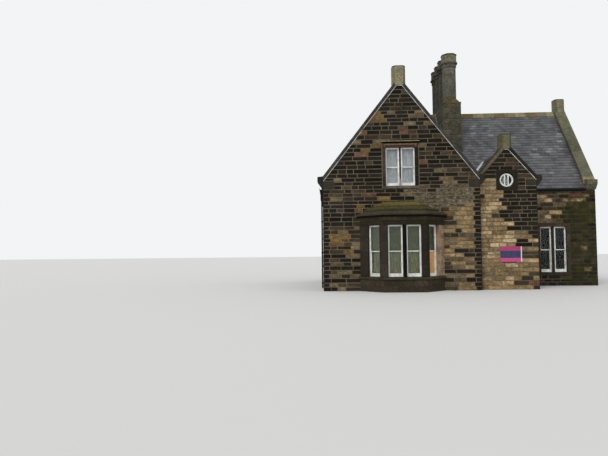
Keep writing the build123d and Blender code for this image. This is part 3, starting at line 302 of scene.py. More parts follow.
def plain_surface(tree, low, high, patch_mm, roughness, depth=0.0005, metallic=0.0, gloss=0.5):
    """A painted, sawn or cast surface: two close shades in soft patches over a fine unevenness."""
    place = add_node(tree, "TexCoord").outputs["Object"]
    patch = add_node(tree, "TexNoise", Vector=place, Scale=per_metre(patch_mm), Detail=6.0, Roughness=0.65)
    colour = add_node(tree, "ValToRGB", {"stops": [(0.35, low), (0.6, high)]}, Fac=patch)
    bump = add_node(tree, "Bump", Strength=0.4, Distance=depth, Height=patch)
    return add_node(tree, "BsdfPrincipled", Base_Color=colour, Normal=bump, Roughness=roughness,
                    Metallic=metallic, Specular_IOR_Level=gloss)


def sign_enamel(tree):
    """Enamel rolled on sheet metal in flat fields: even, with a soft gloss under thin dust."""
    place = add_node(tree, "TexCoord").outputs["Object"]
    tint = add_node(tree, "Attribute", {"attribute_name": "tint"})
    dust = add_node(tree, "TexNoise", Vector=place, Scale=per_metre(200), Detail=5.0, Roughness=0.65)
    film = add_node(tree, "MapRange", Value=dust, From_Min=0.4, From_Max=0.8, To_Max=0.15)
    colour = add_node(tree, "Mix", BLEND, Factor=film, A=tint, B="#8d8a88")
    return add_node(tree, "BsdfPrincipled", Base_Color=colour, Roughness=0.35)


def woven_cloth(tree, low, high):
    """Plain-woven cloth: matt, faded in patches, its threads following the sheet.

    The threads are drawn 8 mm apart, coarser than real ones, which are too fine to show.
    """
    sheet = add_node(tree, "UVMap", {"uv_map": "cloth"})
    threads = [
        add_node(tree, "TexWave", {"bands_direction": run}, Vector=sheet, Scale=per_metre(8) / 6.28,
                 Distortion=0.4, Detail=1.0).outputs["Fac"]
        for run in ("X", "Y")
    ]
    weave = add_node(tree, "Math", {"operation": "ADD"}, Value=threads)
    fade = add_node(tree, "TexNoise", Vector=sheet, Scale=per_metre(350), Detail=4.0, Roughness=0.6)
    colour = add_node(tree, "ValToRGB", {"stops": [(0.35, low), (0.65, high)]}, Fac=fade)
    bump = add_node(tree, "Bump", Strength=0.15, Distance=0.0006, Height=weave)
    return add_node(tree, "BsdfPrincipled", Base_Color=colour, Normal=bump, Roughness=0.85,
                    Sheen_Weight=0.03)


def crown_glass(tree):
    """Old window glass: clear, faintly green, a little wavy, with a film that dulls what it mirrors."""
    place = add_node(tree, "TexCoord").outputs["Object"]
    wave = add_node(tree, "TexNoise", Vector=place, Scale=per_metre(250), Detail=2.0)
    bump = add_node(tree, "Bump", Strength=0.08, Distance=0.001, Height=wave)
    return add_node(tree, "BsdfPrincipled", Base_Color="#f1f5f3", Normal=bump, Roughness=0.02, IOR=1.52,
                    Specular_Tint=grey(0.3), Transmission_Weight=1.0)


def matt_floor(tree):
    """Matt paint rolled on a floor: one even pale tone."""
    colour = (*bpy.context.scene.station_stage.floor_colour, 1.0)
    return add_node(tree, "BsdfPrincipled", Base_Color=colour, Roughness=0.9)


# Each finish: what makes it, then that function's values, with how the surface was made above it.
FINISHES = {
    # Blocks dressed with a hammer: rough pillowed faces that go black with soot.
    "rock-faced sandstone": (weathered_stone, 6, 0.002, 60, 0.02, 0.45, 0.2, "#45452a"),
    # The same on the side that never dries: green and black in clouds.
    "damp rock-faced sandstone": (
        weathered_stone, 6, 0.002, 60, 0.02, 0.6, 1.0, "#2c2c14", 420, 0.95, DAMP_FRONT),
    # Blocks tooled flat: smooth to the eye, darker in the open, with a little moss.
    "tooled sandstone": (weathered_stone, 5, 0.001, 45, 0.004, 0.55, 0.4, "#55532e"),
    # Sawn roof slabs that stay damp, with olive moss on most upper faces.
    "mossy sandstone": (weathered_stone, 6, 0.002, 50, 0.008, 0.35, 0.5, "#5d592e"),
    # Sawn copings in the lee of the chimneys: black with soot, with a dull olive film.
    "sooty sandstone": (weathered_stone, 6, 0.002, 50, 0.006, 0.3, 0.5, "#3c3c34"),
    # Sawn copings in full light: pale, with grey lichen and tan stains.
    "lichened sandstone": (weathered_stone, 6, 0.002, 50, 0.008, 0.3, 0.55, "#63624a", 200),
    # Lime and sand brushed off flush: pale and gritty, stained by soot.
    "lime mortar": (lime_mortar, "#4e4737", "#746a52", "#8e846b"),
    # Lime pointing grown over with green, on the damp front and at the damp corner only.
    "damp lime mortar": (lime_mortar, "#4c4434", "#6e634c", "#84785d", DAMP_FRONT),
    "corner lime mortar": (lime_mortar, "#4e4737", "#746a52", "#8e846b", DAMP_CORNER),
    # Lime pointing of the stack: as dark as its stones.
    "sooty lime mortar": (lime_mortar, "#38362b", "#494639", "#565242"),
    # Cement and lime struck under the copings: pale, flaked off here and there.
    "pale pointing": (plain_surface, "#7f7a6c", "#d2d1c8", 220, 0.9, 0.002),
    # Portland cement struck smooth over a broken arris: light grey.
    "cement mortar": (plain_surface, "#827d79", "#a19c96", 60, 0.9, 0.001),
    # Slate split by hand: ridged across, with a faint sheen.
    "riven slate": (riven_slate,),
    # Laps seen end on between the exposed slates: near black.
    "slate laps": (plain_surface, "#26262b", "#37373d", 200, 0.8),
    # Milled lead sheet, gone pale grey with carbonate.
    "rolled lead": (plain_surface, "#8d9095", "#c3c6ce", 180, 0.6, 0.001),
    # White oil paint brushed on softwood: a soft gloss, with grime in patches.
    "white gloss paint": (plain_surface, "#c9c8bf", "#f0f0ea", 240, 0.4),
    # Red oil paint brushed on deal boards: glossy, with brush streaks.
    "red gloss paint": (plain_surface, "#6d1620", "#8c1f2b", 150, 0.35),
    # Black bitumen paint on iron: dull and faintly uneven from the sand mould.
    "bitumen paint on cast iron": (plain_surface, "#070707", "#131313", 60, 0.7, 0.001, 0.0, 0.15),
    # Softwood plywood, rotary cut: broad orange grain under an outdoor stain.
    "sheathing plywood": (plain_surface, "#bd8450", "#d6a268", 90, 0.7),
    # Drawn brass tube, lacquered and a little dull.
    "lacquered brass": (plain_surface, "#8a6c35", "#a5854a", 80, 0.35, 0.0002, 1.0),
    # Sawn flags worn by feet: buff, in soft patches.
    "worn flagstone": (plain_surface, "#6f6856", "#8d856f", 400, 0.8),
    # Planed deal floor boards, waxed and browned.
    "waxed deal boards": (plain_surface, "#5e4630", "#7c5f42", 300, 0.55),
    # Enamel rolled on sheet metal: flat, even fields with a soft gloss.
    "sign enamel": (sign_enamel,),
    # Cotton net: close and pale, cool grey by daylight.
    "cotton net": (woven_cloth, "#c9ccd3", "#e2e4e9"),
    # Lined curtain cotton, faded grey-green.
    "faded curtain cotton": (woven_cloth, "#858566", "#9a9a78"),
    # Holland blind cloth, glazed and dulled to olive.
    "holland blind cloth": (woven_cloth, "#636852", "#70755e"),
    # Curtain wool, bottle green, darkened to near black as painted shade of the room behind it.
    "green wool darkened as painted shade": (woven_cloth, "#0c1711", "#14231b"),
    # Glass spun and cut by hand: clear, faintly green and a little wavy.
    "crown glass": (crown_glass,),
    # Matt paint, rolled: one even pale tone.
    "matt floor paint": (matt_floor,),
}

CAD_FINISHES = {
    "lime mortar": ["main_front_wall", "main_left_wall", "main_rear_wall", "spine_wall",
                    "range_rear_wall", "stair_bay_walls", "stair_bay_beam"],
    "damp lime mortar": ["range_front_wall"],
    "corner lime mortar": ["range_gable_wall"],
    "sooty lime mortar": ["chimney_breast"],
    "slate laps": ["main_roof", "range_roof", "stair_bay_roof"],
    "crown glass": ["bay_glass", "upper_glass", "lower_glass"],
    "sheathing plywood": ["bay_boarding"],
    "worn flagstone": ["ground_floor"],
    "waxed deal boards": ["upper_floor"],
}


def finish(name):
    """The material of a finish, made when it is first asked for."""
    material = bpy.data.materials.get(name)
    if material is None:
        material = bpy.data.materials.new(name)
        material.use_nodes = True
        tree = material.node_tree
        tree.nodes.clear()
        maker, *values = FINISHES[name]
        add_node(tree, "OutputMaterial", Surface=maker(tree, *values))
    return material


# Pieces


def make_piece(bm, name, material, place=PLACE):
    """Turns a mesh in the drawing's frame into a piece that rides on the building."""
    bmesh.ops.transform(bm, matrix=place, verts=bm.verts)
    mesh = bpy.data.meshes.new(name)
    bm.to_mesh(mesh)
    bm.free()
    mesh.materials.append(finish(material))
    piece = bpy.data.objects.new(name, mesh)
    bpy.context.scene.collection.objects.link(piece)
    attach(piece, "root")
    return piece


def bevel_arrises(bm, width, segments=1):
    """Rounds or chamfers every arris of the blocks."""
    bm.normal_update()
    sharp = [edge for edge in bm.edges if edge.is_manifold and edge.calc_face_angle() > math.radians(15)]
    bmesh.ops.bevel(bm, geom=sharp, offset=width, offset_type="OFFSET", segments=segments, profile=0.5,
                    affect="EDGES", clamp_overlap=True, material=-1)


class Blocks:
    """A mesh of many blocks, each with a tint of its own, or none where the material needs none."""

    # A stone's margin leans to this colour, by this share.
    margin_colour, margin_share = hex_colour("#574a38"), 0.45

    def __init__(self):
        self.bm = bmesh.new()
        self.bm.faces.layers.int.new("margin")
        self.number = self.bm.faces.layers.int.new("block")
        self.tints = []

    def box(self, centre, size, tint=None, turn=UNTURNED):
        """One box, with its block's number on its faces."""
        matrix = turn @ Matrix.Translation(centre) @ Matrix.Diagonal((*size, 1))
        made = bmesh.ops.create_cube(self.bm, size=1, matrix=matrix)["verts"]
        for face in {face for vert in made for face in vert.link_faces}:
            face[self.number] = len(self.tints)
        self.tints.append(tint)
        return made

    def between(self, low, high, tint=None, turn=UNTURNED):
        """One box between two corners."""
        centre = [(a + b) / 2 for a, b in zip(low, high)]
        return self.box(centre, [b - a for a, b in zip(low, high)], tint, turn)

    def strip(self, start, end, width, thick, out):
        """A thin bar from one point to another, its face looking out."""
        start, end, out = Vector(start), Vector(end), Vector(out)
        along = (end - start).normalized()
        side = out.cross(along).normalized()
        turn = Matrix((along, side, along.cross(side))).transposed().to_4x4()
        turn.translation = (start + end) / 2
        return self.box((0, 0, 0), ((end - start).length, width, thick), None, turn)

    def paint(self):
        """Writes each block's tint on its corners, where its material reads it."""
        margin = self.bm.faces.layers.int["margin"]
        paint = self.bm.loops.layers.float_color.new("tint")
        for face in self.bm.faces:
            colour = self.tints[face[self.number]]
            if face[margin]:
                colour = mixed(colour, self.margin_colour, self.margin_share)
            for loop in face.loops:
                loop[paint] = colour

    def piece(self, name, material, slot=None, edge=0.0, segments=1):
        """Works the arrises, paints the blocks and makes the piece."""
        if edge:
            bevel_arrises(self.bm, edge, segments)
        if self.tints[0]:
            self.paint()
        return make_piece(self.bm, name, material)


# Coursed stonework

STONE_COLOURS = {kind: (hex_colour(low), hex_colour(high)) for kind, low, high in (
    ("sooty", "#0e0d0b", "#282420"), ("brown", "#2c261e", "#4c4133"), ("ochre", "#5c4829", "#806538"),
    ("buff", "#5a4f3c", "#7d6f55"), ("pink", "#6a4a3a", "#7d5b49"), ("tan", "#9a8564", "#bda67f"),
    ("sand", "#806c4c", "#a08a64"), ("cream", "#b39b76", "#d0b993"), ("green", "#2b2a12", "#45441c"),
    ("olive", "#4a483b", "#5c5a49"),
)}
# A low alpha tells the material to break up a stone's face.
STONE_COLOURS["flaked"] = hex_colour("#5a5142", 0.0), hex_colour("#6e6452", 0.15)
# The shares of each colour in a wall at large, in its corners and in the stack.
SOOTY_WALL = {"sooty": 0.7, "brown": 0.24, "ochre": 0.012, "buff": 0.045, "pink": 0.005}
SOOTY_CORNER = {"sooty": 0.95, "brown": 0.05}
STACK_STONE = {"olive": 1.0}

# The smallest stone or slate that is laid, and the least height that is left beside a hole.
LEAST_STONE, LEAST_HEIGHT = 0.03, 0.04
# How deep a stone is sunk in the wall. Corner stones run past the wall's end by as much.
SUNK = 0.012


class Wall:
    """One face of coursed stone, drawn as its viewer sees it.

    Levels are heights that have a bed. A patch leans to a kind of stone: its name, from and to
    across the wall, from and to upwards, and how strongly.
    """

    holes = patches = ()
    gable = None
    quoins = (True, True)
    slot = "rubble_stone"
    course, length = 0.2, 0.5
    under_roof = False
    base = SOOTY_WALL
    finish = "rock-faced sandstone"
    corners = (0.27, 0.46)
    plain_corners = True

    def __init__(self, name, place, left, right, levels, **more):
        self.name, self.place = name, place
        self.left, self.right, self.levels = left, right, levels
        vars(self).update(more)

    def reach(self, height):
        """Left and right ends of the wall at a height."""
        if self.gable is None:
            return self.left, self.right
        axis, apex, slope = self.gable
        half = max(0.0, (apex - height) / slope)
        return max(self.left, axis - half), min(self.right, axis + half)


def stack_face(name, x, y, angle, left, right):
    """One face of the chimney stack, in ashlar, from the slates up."""
    return Wall(name, on_wall(x, y, angle), left, right, [5.1, 7.0, STACK[4]], slot="chimney_stone",
                course=0.3, length=0.55, under_roof=True, base=STACK_STONE)


TWO_STOREYS = [0, 0.54, 3.215, 4.9]
WALLS = [
    Wall("main_front_stones", on_wall(0, 0, 0), -MAIN_HALF, MAIN_HALF, [0, 3.5, 4.81, 6.965, 9.78],
         holes=[(-1.9, 1.9, 0, 3.5), (-0.75, 0.75, 3.5, 4.1), around(UPPER), *MAIN_SPRINGERS],
         gable=MAIN_GABLE, corners=(0.27, 0.34), patches=[
             ("sooty", -3.4, -0.8, 5.0, 7.4, 1.0), ("ochre", -1.45, -0.7, 8.0, 8.6, 3.0),
             ("ochre", -2.0, -1.6, 7.3, 7.6, 4.0), ("ochre", -1.6, -1.1, 6.65, 6.85, 4.0),
             ("pink", -1.85, -1.5, 6.38, 6.6, 5.0), ("cream", -1.15, -0.86, 6.2, 6.37, 6.0),
             ("buff", -2.25, -1.8, 6.8, 7.15, 3.0), ("buff", 0.7, 1.1, 8.4, 8.6, 4.0),
             ("ochre", 1.25, 1.7, 7.85, 8.03, 5.0), ("buff", 1.8, 2.35, 6.6, 6.85, 5.0),
             ("buff", 0.0, 0.4, 7.7, 7.82, 4.0), ("buff", 1.2, 1.95, 5.6, 5.8, 6.0),
             ("pink", 0.87, 1.2, 6.0, 6.2, 2.0), ("brown", 2.5, 3.2, 4.95, 5.5, 2.0),
             ("brown", -3.35, -1.4, 4.2, 4.9, 1.5), ("ochre", -3.35, -2.4, 4.2, 4.9, 0.5),
             ("flaked", 0.85, 3.4, 3.95, 4.85, 9.0), ("sand", 2.3, 3.4, 3.6, 4.4, 3.0),
             ("sand", 2.0, 3.4, 3.3, 3.8, 1.6), ("ochre", 2.1, 3.3, 3.2, 3.75, 1.2),
             ("cream", 2.5, 3.4, 3.3, 4.2, 0.6), ("sand", 2.0, 3.5, 0.0, 3.35, 1.8),
             ("buff", 2.0, 3.5, 0.0, 3.35, 1.6), ("brown", 2.0, 3.5, 0.0, 3.35, 1.0),
             ("ochre", -3.25, -2.55, 1.85, 2.65, 1.6), ("ochre", -2.3, -1.9, 3.75, 4.0, 4.0),
             ("buff", -3.7, -1.9, 0.0, 3.4, 0.7), ("brown", -3.7, -1.9, 0.0, 3.4, 0.5),
         ]),
    Wall("main_left_stones", on_wall(-MAIN_HALF, 0, -90), -RANGE_BACK, 0, TWO_STOREYS,
         holes=[around(LOWER, -4.75)], patches=[("buff", -6.5, -1, 0.5, 4, 0.3)]),
    Wall("main_rear_stones", on_wall(0, RANGE_BACK, 180), -MAIN_HALF, MAIN_HALF,
         [0, 0.54, 3.215, 4.81, 6.965, 9.78], holes=[around(UPPER), around(LOWER)], gable=MAIN_GABLE,
         quoins=(False, True), patches=[("buff", 0, 3.4, 2.4, 4.7, 0.6), ("brown", -3, 0.5, 5, 7, 0.6)]),
    Wall("range_rear_stones", on_wall(0, RANGE_BACK, 180), -RANGE_RIGHT, -MAIN_HALF, TWO_STOREYS,
         holes=[around(LOWER, -7.8175), (DOOR_CENTRE - DOOR_HALF - JAMB, DOOR_CENTRE + DOOR_HALF + JAMB,
                                         0, DOOR_HEAD + LINTEL)],
         quoins=(True, False), patches=[("brown", -8.5, -4.5, 0.8, 3.2, 0.6)]),
    Wall("range_front_stones", on_wall(0, RANGE_FRONT, 0), STAIR_RIGHT, RANGE_RIGHT, TWO_STOREYS,
         holes=[around(LOWER, 8.135)], quoins=(False, True), finish="damp rock-faced sandstone",
         plain_corners=False, patches=[
             ("brown", 6.4, 8.7, 3.3, 4.95, 2.0), ("tan", 6.4, 8.2, 3.4, 4.9, 1.1),
             ("buff", 6.4, 8.7, 3.3, 4.95, 1.6), ("pink", 8.5, 10.0, 4.3, 4.95, 1.5),
             ("tan", 8.6, 10.0, 4.4, 4.95, 1.2), ("green", 8.3, 10.0, 3.1, 4.25, 3.0),
             ("green", 8.8, 10.3, 0.0, 3.1, 1.6), ("brown", 8.8, 10.3, 0.0, 3.1, 0.8),
             ("buff", 9.5, 9.85, 0.5, 2.2, 2.5),
         ]),
    Wall("range_gable_stones", on_wall(RANGE_RIGHT, 0, 90), RANGE_FRONT, RANGE_BACK,
         [0, 0.54, 3.215, 4.81, 6.965, 9.79], holes=[around(UPPER, RANGE_AXIS), around(LOWER, RANGE_AXIS)],
         gable=RANGE_GABLE, patches=[("green", 2.7, 4.0, 0.5, 5, 0.9), ("buff", 6, 9, 2.8, 5.2, 0.4)]),
    Wall("stair_front_stones", on_wall(0, STAIR_FRONT, 0), MAIN_HALF, STAIR_RIGHT,
         [0, 3.0, ROUND_STONE[2], ROUND_STONE[3], 6.68], holes=[ROUND_STONE, BOARD, *STAIR_SPRINGERS],
         gable=STAIR_GABLE, quoins=(False, True), plain_corners=False, patches=[
             ("cream", 3.6, 4.5, 3.9, 4.95, 10.0), ("tan", 3.6, 4.6, 3.7, 4.95, 14.0),
             ("cream", 3.6, 4.85, 2.6, 4.0, 5.0), ("tan", 3.6, 4.85, 2.6, 4.0, 18.0),
             ("sooty", 4.95, 6.5, 2.55, 4.75, 14.0), ("tan", 3.6, 5.75, 0.4, 2.6, 9.0),
             ("sand", 3.6, 4.85, 2.6, 4.95, 6.0), ("cream", 3.6, 5.8, 2.1, 2.4, 9.0),
             ("sand", 3.6, 5.9, -0.5, 2.6, 12.0), ("buff", 3.6, 5.9, -0.5, 2.6, 2.0),
             ("brown", 3.6, 6.5, -0.5, 2.2, 1.5), ("tan", 3.7, 4.3, 4.85, 5.2, 2.0),
         ]),
    Wall("stair_side_stones", on_wall(STAIR_RIGHT, 0, 90), STAIR_FRONT, RANGE_FRONT, [0, 3.0, 4.88],
         quoins=(True, False)),
    Wall("main_return_stones", on_wall(MAIN_HALF, 0, 90), 0, STAIR_FRONT, [0, 3.5, 4.81, 5.0],
         quoins=(False, False)),
    stack_face("stack_front_stones", 0, STACK[2], 0, STACK[0], STACK[1]),
    stack_face("stack_back_stones", 0, STACK[3], 180, -STACK[1], -STACK[0]),
    stack_face("stack_left_stones", STACK[0], 0, -90, -STACK[3], -STACK[2]),
    stack_face("stack_right_stones", STACK[1], 0, 90, STACK[2], STACK[3]),
]


def course_lines(rng, levels, mean):
    """Heights of the beds, with a bed at each of the given levels."""
    lines = [levels[0]]
    for low, high in zip(levels, levels[1:]):
        shares = [rng.uniform(0.85, 1.15) for i in range(max(1, round((high - low) / mean)))]
        for share in shares:
            lines.append(lines[-1] + (high - low) * share / sum(shares))
    return lines


def stone_lengths(rng, start, end, mean):
    """Places of the upright joints along one run of a course."""
    cuts = [start]
    while end - cuts[-1] > 1.6 * mean:
        cuts.append(cuts[-1] + mean * rng.uniform(0.6, 1.45))
    if len(cuts) > 1 and end - cuts[-1] < 0.45 * mean:
        cuts.pop()
    return cuts + [end]


def free_heights(low, high, left, right, holes):
    """What is left of a course between two uprights once the holes are taken out."""
    spans = [(low, high)]
    for h_left, h_right, h_low, h_high in holes:
        if h_left < right - 1e-6 and h_right > left + 1e-6:
            parts = [part for a, b in spans for part in ((a, min(b, h_low)), (max(a, h_high), b))]
            spans = [part for part in parts if part[1] - part[0] > LEAST_HEIGHT]
    return spans


def lay_course(rng, wall, index, low, high):
    """The stones of one course: (left, right, low, high, whether it is a corner stone)."""
    left, right = wall.reach(low)
    edges = {left, right}
    for h_left, h_right, h_low, h_high in wall.holes:
        if h_low < high - 0.02 and h_high > low + 0.02:
            edges |= {min(max(h_left, left), right), min(max(h_right, left), right)}
    stones = []
    if wall.quoins[0] and left == wall.left and min(edges - {left}) - left > 0.9:
        edges.add(left + wall.corners[1 - index % 2])
    if wall.quoins[1] and right == wall.right and right - max(edges - {right}) > 0.9:
        edges.add(right - wall.corners[index % 2])
    places = sorted(edges)
    for a, b in zip(places, places[1:]):
        if b - a < LEAST_STONE:
            continue
        at_corner = (a == wall.left and wall.quoins[0] or b == wall.right and wall.quoins[1]) and b - a < 0.5
        for c, d in free_heights(low, high, a, b, wall.holes):
            cuts = [a, b] if at_corner else stone_lengths(rng, a, b, wall.length)
            stones += [(e, f, c, d, at_corner) for e, f in zip(cuts, cuts[1:])]
    return stones


def stone_tint(rng, wall, stone):
    """A stone's colour: mostly sooty, some warm, and what its part of the wall leans to."""
    left, right, low, high, corner = stone
    plain = corner and wall.plain_corners
    pull = dict(SOOTY_CORNER if plain and wall.base is SOOTY_WALL else wall.base)
    for kind, from_x, to_x, from_z, to_z, strength in () if plain else wall.patches:
        away_x = (left + right - from_x - to_x) / (to_x - from_x)
        away_z = (low + high - from_z - to_z) / (to_z - from_z)
        pull[kind] = pull.get(kind, 0.0) + strength * math.exp(-away_x ** 4 - away_z ** 4)
    names = sorted(pull)
    chosen = rng.choices(names, [pull[name] for name in names])[0]
    return mixed(*STONE_COLOURS[chosen], rng.random())


def sunk_in_roof(place, across, top):
    """Whether a stone's top is below the slates in front of it."""
    x, y, z = place @ Vector((across, -0.02, top))
    main = slates_at(MAIN_GABLE, x) if abs(x) <= MAIN_HALF else 0
    return z - 0.02 < max(main, slates_at(RANGE_GABLE, y) if x >= 0 else 0)


def pitch_faces(bm, rng, relief):
    """Gives each block's outer face a pitched margin and a rough crown."""
    bm.normal_update()
    fronts = [face for face in bm.faces if face.normal.y < -0.9]
    margin = bm.faces.layers.int["margin"]
    made = bmesh.ops.inset_individual(
        bm, faces=fronts, thickness=0.02, depth=relief * 0.5, use_even_offset=True)
    for face in made["faces"]:
        face[margin] = 1
    crowns = bmesh.ops.poke(bm, faces=fronts, offset=0.0)["verts"]
    for vert in crowns:
        vert.co.y -= relief * rng.uniform(-0.2, 0.5)
    rims = {vert for crown in crowns for edge in crown.link_edges for vert in edge.verts} - set(crowns)
    for vert in sorted(rims, key=lambda v: v.index):
        vert.co.y -= relief * rng.uniform(-0.25, 0.25)


def lay_wall(wall, joint, relief, seed):
    """Lays a wall's stones as blocks, then pitches their faces off the hammer."""
    rng = random.Random(seed)
    blocks = Blocks()
    lines = course_lines(rng, wall.levels, wall.course)
    for index, (low, high) in enumerate(zip(lines, lines[1:])):
        for stone in lay_course(rng, wall, index, low, high):
            left, right, bottom, top, corner = stone
            proud = rng.uniform(0.004, 0.010)
            a = left + joint / 2 if left > wall.left else left - SUNK
            b = right - joint / 2 if right < wall.right else right + SUNK
            c, d = bottom + joint / 2, top - joint / 2
            hidden = wall.under_roof and sunk_in_roof(wall.place, (a + b) / 2, d)
            if hidden or min(b - a, d - c) < LEAST_STONE:
                continue
            blocks.between((a, -proud, c), (b, SUNK, d), stone_tint(rng, wall, stone))
    if wall.gable:
        # The stones end just below the coping's bed.
        axis, apex, slope = wall.gable
        bm = blocks.bm
        for side in (-1, 1):
            bmesh.ops.bisect_plane(
                bm, geom=bm.verts[:] + bm.edges[:] + bm.faces[:], plane_co=(axis, 0, apex - 0.006),
                plane_no=(side * slope, 0, 1), clear_outer=True)
    pitch_faces(blocks.bm, rng, relief)
    blocks.paint()
    make_piece(blocks.bm, wall.name, wall.finish, PLACE @ wall.place)


# Slates

SLATE_COLOURS = {
    "blue": ("#5a5a5c", "#6b6b6d"), "dark": ("#464648", "#58585a"),
    "pale": ("#777777", "#8b8b8a"), "plum": ("#5e5a5e", "#6f696d"),
}
# Where pale slates gather: x, height and reach.
PALE_PATCHES = ((9.5, 8.1, 0.35), (9.1, 7.6, 0.4), (4.9, 8.8, 0.3), (8.0, 6.9, 0.25))
# How far a slate laps the one below and is lifted by it, its thickness, and the gap beside it.
SLATE_LAP, SLATE_LIFT, SLATE_THICK, SLATE_GAP = 0.03, 0.014, 0.009, 0.004


def below_main(point):
    return point.x < MAIN_HALF and point.z < slates_at(MAIN_GABLE, point.x) - 0.15


def below_stair(point):
    return point.x < STAIR_RIGHT and point.z < slates_at(STAIR_GABLE, point.x) - 0.1


def below_range(point):
    return point.z < slates_at(RANGE_GABLE, point.y) - 0.1 and point.y > RANGE_FRONT - EAVE


# Each slope: its gable, whether that crosses x (0) or y (1), the eaves' place across the gable,
# where the slope starts and ends as seen from outside, left to right, and what covers it.
SLOPES = [
    ("main_left_slates", MAIN_GABLE, 0, -MAIN_HALF - EAVE, INSIDE_BACK, WALL, lambda p: False),
    ("main_right_slates", MAIN_GABLE, 0, MAIN_HALF, WALL, INSIDE_BACK,
     lambda p: p.z < slates_at(RANGE_GABLE, p.y) - 0.15 or in_stack(p)),
    ("range_front_slates", RANGE_GABLE, 1, RANGE_FRONT - EAVE, 0, INSIDE_RIGHT,
     lambda p: below_main(p) or in_stack(p) or below_stair(p)),
    ("range_rear_slates", RANGE_GABLE, 1, RANGE_BACK + EAVE, INSIDE_RIGHT, 0,
     lambda p: below_main(p) or in_stack(p) or p.x < MAIN_HALF and p.y > INSIDE_BACK),
    ("stair_left_slates", STAIR_GABLE, 0, MAIN_HALF, STAIR_ROOF_END, STAIR_FRONT + WALL, below_range),
    ("stair_right_slates", STAIR_GABLE, 0, STAIR_RIGHT + EAVE, STAIR_FRONT + WALL, STAIR_ROOF_END,
     below_range),
]


def slope_point(gable, crosses, across, along):
    """A point on the slates, from its places across and along the ridge."""
    flat = Vector((along, across, 0) if crosses else (across, along, 0))
    return flat + UPWARDS * slates_at(gable, across)


def slate_tint(rng, middle):
    """Blue-grey for most, with pale ones gathered where lichen grows."""
    lichen = sum(math.exp(-((middle.x - x) ** 2 + (middle.z - z) ** 2) / reach ** 2)
                 for x, z, reach in PALE_PATCHES)
    kind = rng.choices(["blue", "dark", "pale", "plum"], [0.66, 0.27, 0.008 + 0.9 * lichen, 0.05])[0]
    return shade(rng, *SLATE_COLOURS[kind])


def lay_slope(blocks, rng, corner, foot, ridge, gauge, width, covered):
    """Lays one slope in broken courses, each slate lapping the one below; returns its way up."""
    along, up = (foot - corner).normalized(), (ridge - corner).normalized()
    length, run = (foot - corner).length, (ridge - corner).length
    out = along.cross(up)
    tilt = math.atan2(SLATE_LIFT, gauge + SLATE_LAP)
    lie = up * math.cos(tilt) - out * math.sin(tilt)
    turn = Matrix((along, lie, along.cross(lie))).transposed().to_4x4()
    for row in range(math.ceil(run / gauge)):
        start = row * gauge
        end = min(start + gauge + SLATE_LAP, run)
        if end - start < LEAST_STONE:
            continue
        along_now = -width / 2 if row % 2 else 0.0
        while along_now < length - 1e-6:
            left, right = max(0.0, along_now), min(length, along_now + width)
            along_now += width
            middle = corner + along * (left + right) / 2 + up * (start + gauge / 2)
            if right - left < LEAST_STONE or covered(middle):
                continue
            raised = (SLATE_THICK + SLATE_LIFT) / 2 + rng.uniform(0, 0.002)
            turn.translation = corner + along * (left + right) / 2 + up * (start + end) / 2 + out * raised
            size = (right - left - SLATE_GAP, end - start, SLATE_THICK)
            blocks.box((0, 0, 0), size, slate_tint(rng, middle), turn)
    return up


def shade_slate_feet(bm, up):
    """Paints shade on each slate: darker towards its lower edge, and near black where it faces down the
    slope.
    """
    paint = bm.loops.layers.float_color["tint"]
    for face in bm.faces:
        middle = face.calc_center_median().dot(up)
        for loop in face.loops:
            if loop.vert.co.dot(up) < middle - 0.02:
                loop[paint] = mixed(loop[paint], grey(0.0), 0.55)
            elif face.normal.dot(up) < -0.5:
                loop[paint] = grey(0.01)


def lay_roofs(gauge, width):
    """All slopes: two on the main block, two on the range, two on the stair bay."""
    rng = random.Random(5)
    for name, gable, crosses, eave, start, end, covered in SLOPES:
        blocks = Blocks()
        corner, foot, ridge = [slope_point(gable, crosses, *at) for at in (
            (eave, start), (eave, end), (gable[0], start))]
        up = lay_slope(blocks, rng, corner, foot, ridge, gauge, width, covered)
        blocks.paint()
        shade_slate_feet(blocks.bm, up)
        make_piece(blocks.bm, name, "riven slate")


# Dressed stonework

# Joints along the mitres between the bay's front and its canted sides.
BAY_MITRES = [
    (Vector((-0.975, -1, 0)), Vector((0.924, -0.383, 0))),
    (Vector((0.975, -1, 0)), Vector((0.924, 0.383, 0))),
]

# Tints of the pieces that stand in for nodes: low colour, high colour, and where a block's centre
# has to be for them. The last needs no place.
# The front shaft is olive, and the others behind it are blacker, partly from soot and partly as painted
# shade.
SHAFT_TINTS = (
    ("#4b4a3a", "#55543f", lambda c: c.z > 12.78 and c.y < 5),
    ("#383731", "#42403a", lambda c: c.z > 12.78),
    ("#7b7a60", "#85836a", lambda c: c.z > 12.38 and c.y < 5),
    ("#46443c", "#504e45", lambda c: c.z > 12.38),
    ("#554f36", "#625b40", lambda c: c.z < 10.5 and c.y < 5),
    ("#3c3a30", "#474536", lambda c: c.z < 10.5),
    ("#5f5d55", "#6c6a60", lambda c: c.y < 5),
    ("#3b3a34", "#4a4841"),
)
BAY_BASE_TINTS = (("#332e25", "#4a4234"),)
BAY_SILL_TINTS = (("#39342a", "#484134"),)
# The bay's posts are sooty brown, the middle one black, and the jamb on the right cleaner.
POST_TINTS = (
    ("#937c66", "#a68e74", lambda c: c.x > 1.4),
    ("#040304", "#080608", lambda c: abs(c.x) < 0.3),
    ("#1e1b17", "#2a2621", lambda c: c.x > 0),
    ("#2d2822", "#3b342c"),
)
# The drip's top is tan, the drip black as painted shadow, and the moulding below it redder, with a painted
# highlight along its top and paler ends.
HOOD_TINTS = (
    ("#a39c6e", "#bab182", lambda c: c.z > 7.05),
    ("#020202", "#020202", lambda c: c.z > 6.96),
    ("#9c8466", "#b09878", lambda c: abs(c.x) > 0.72),
    ("#7f6a52", "#8c765c", lambda c: c.z > 6.9),
    ("#45332a", "#543e32"),
)
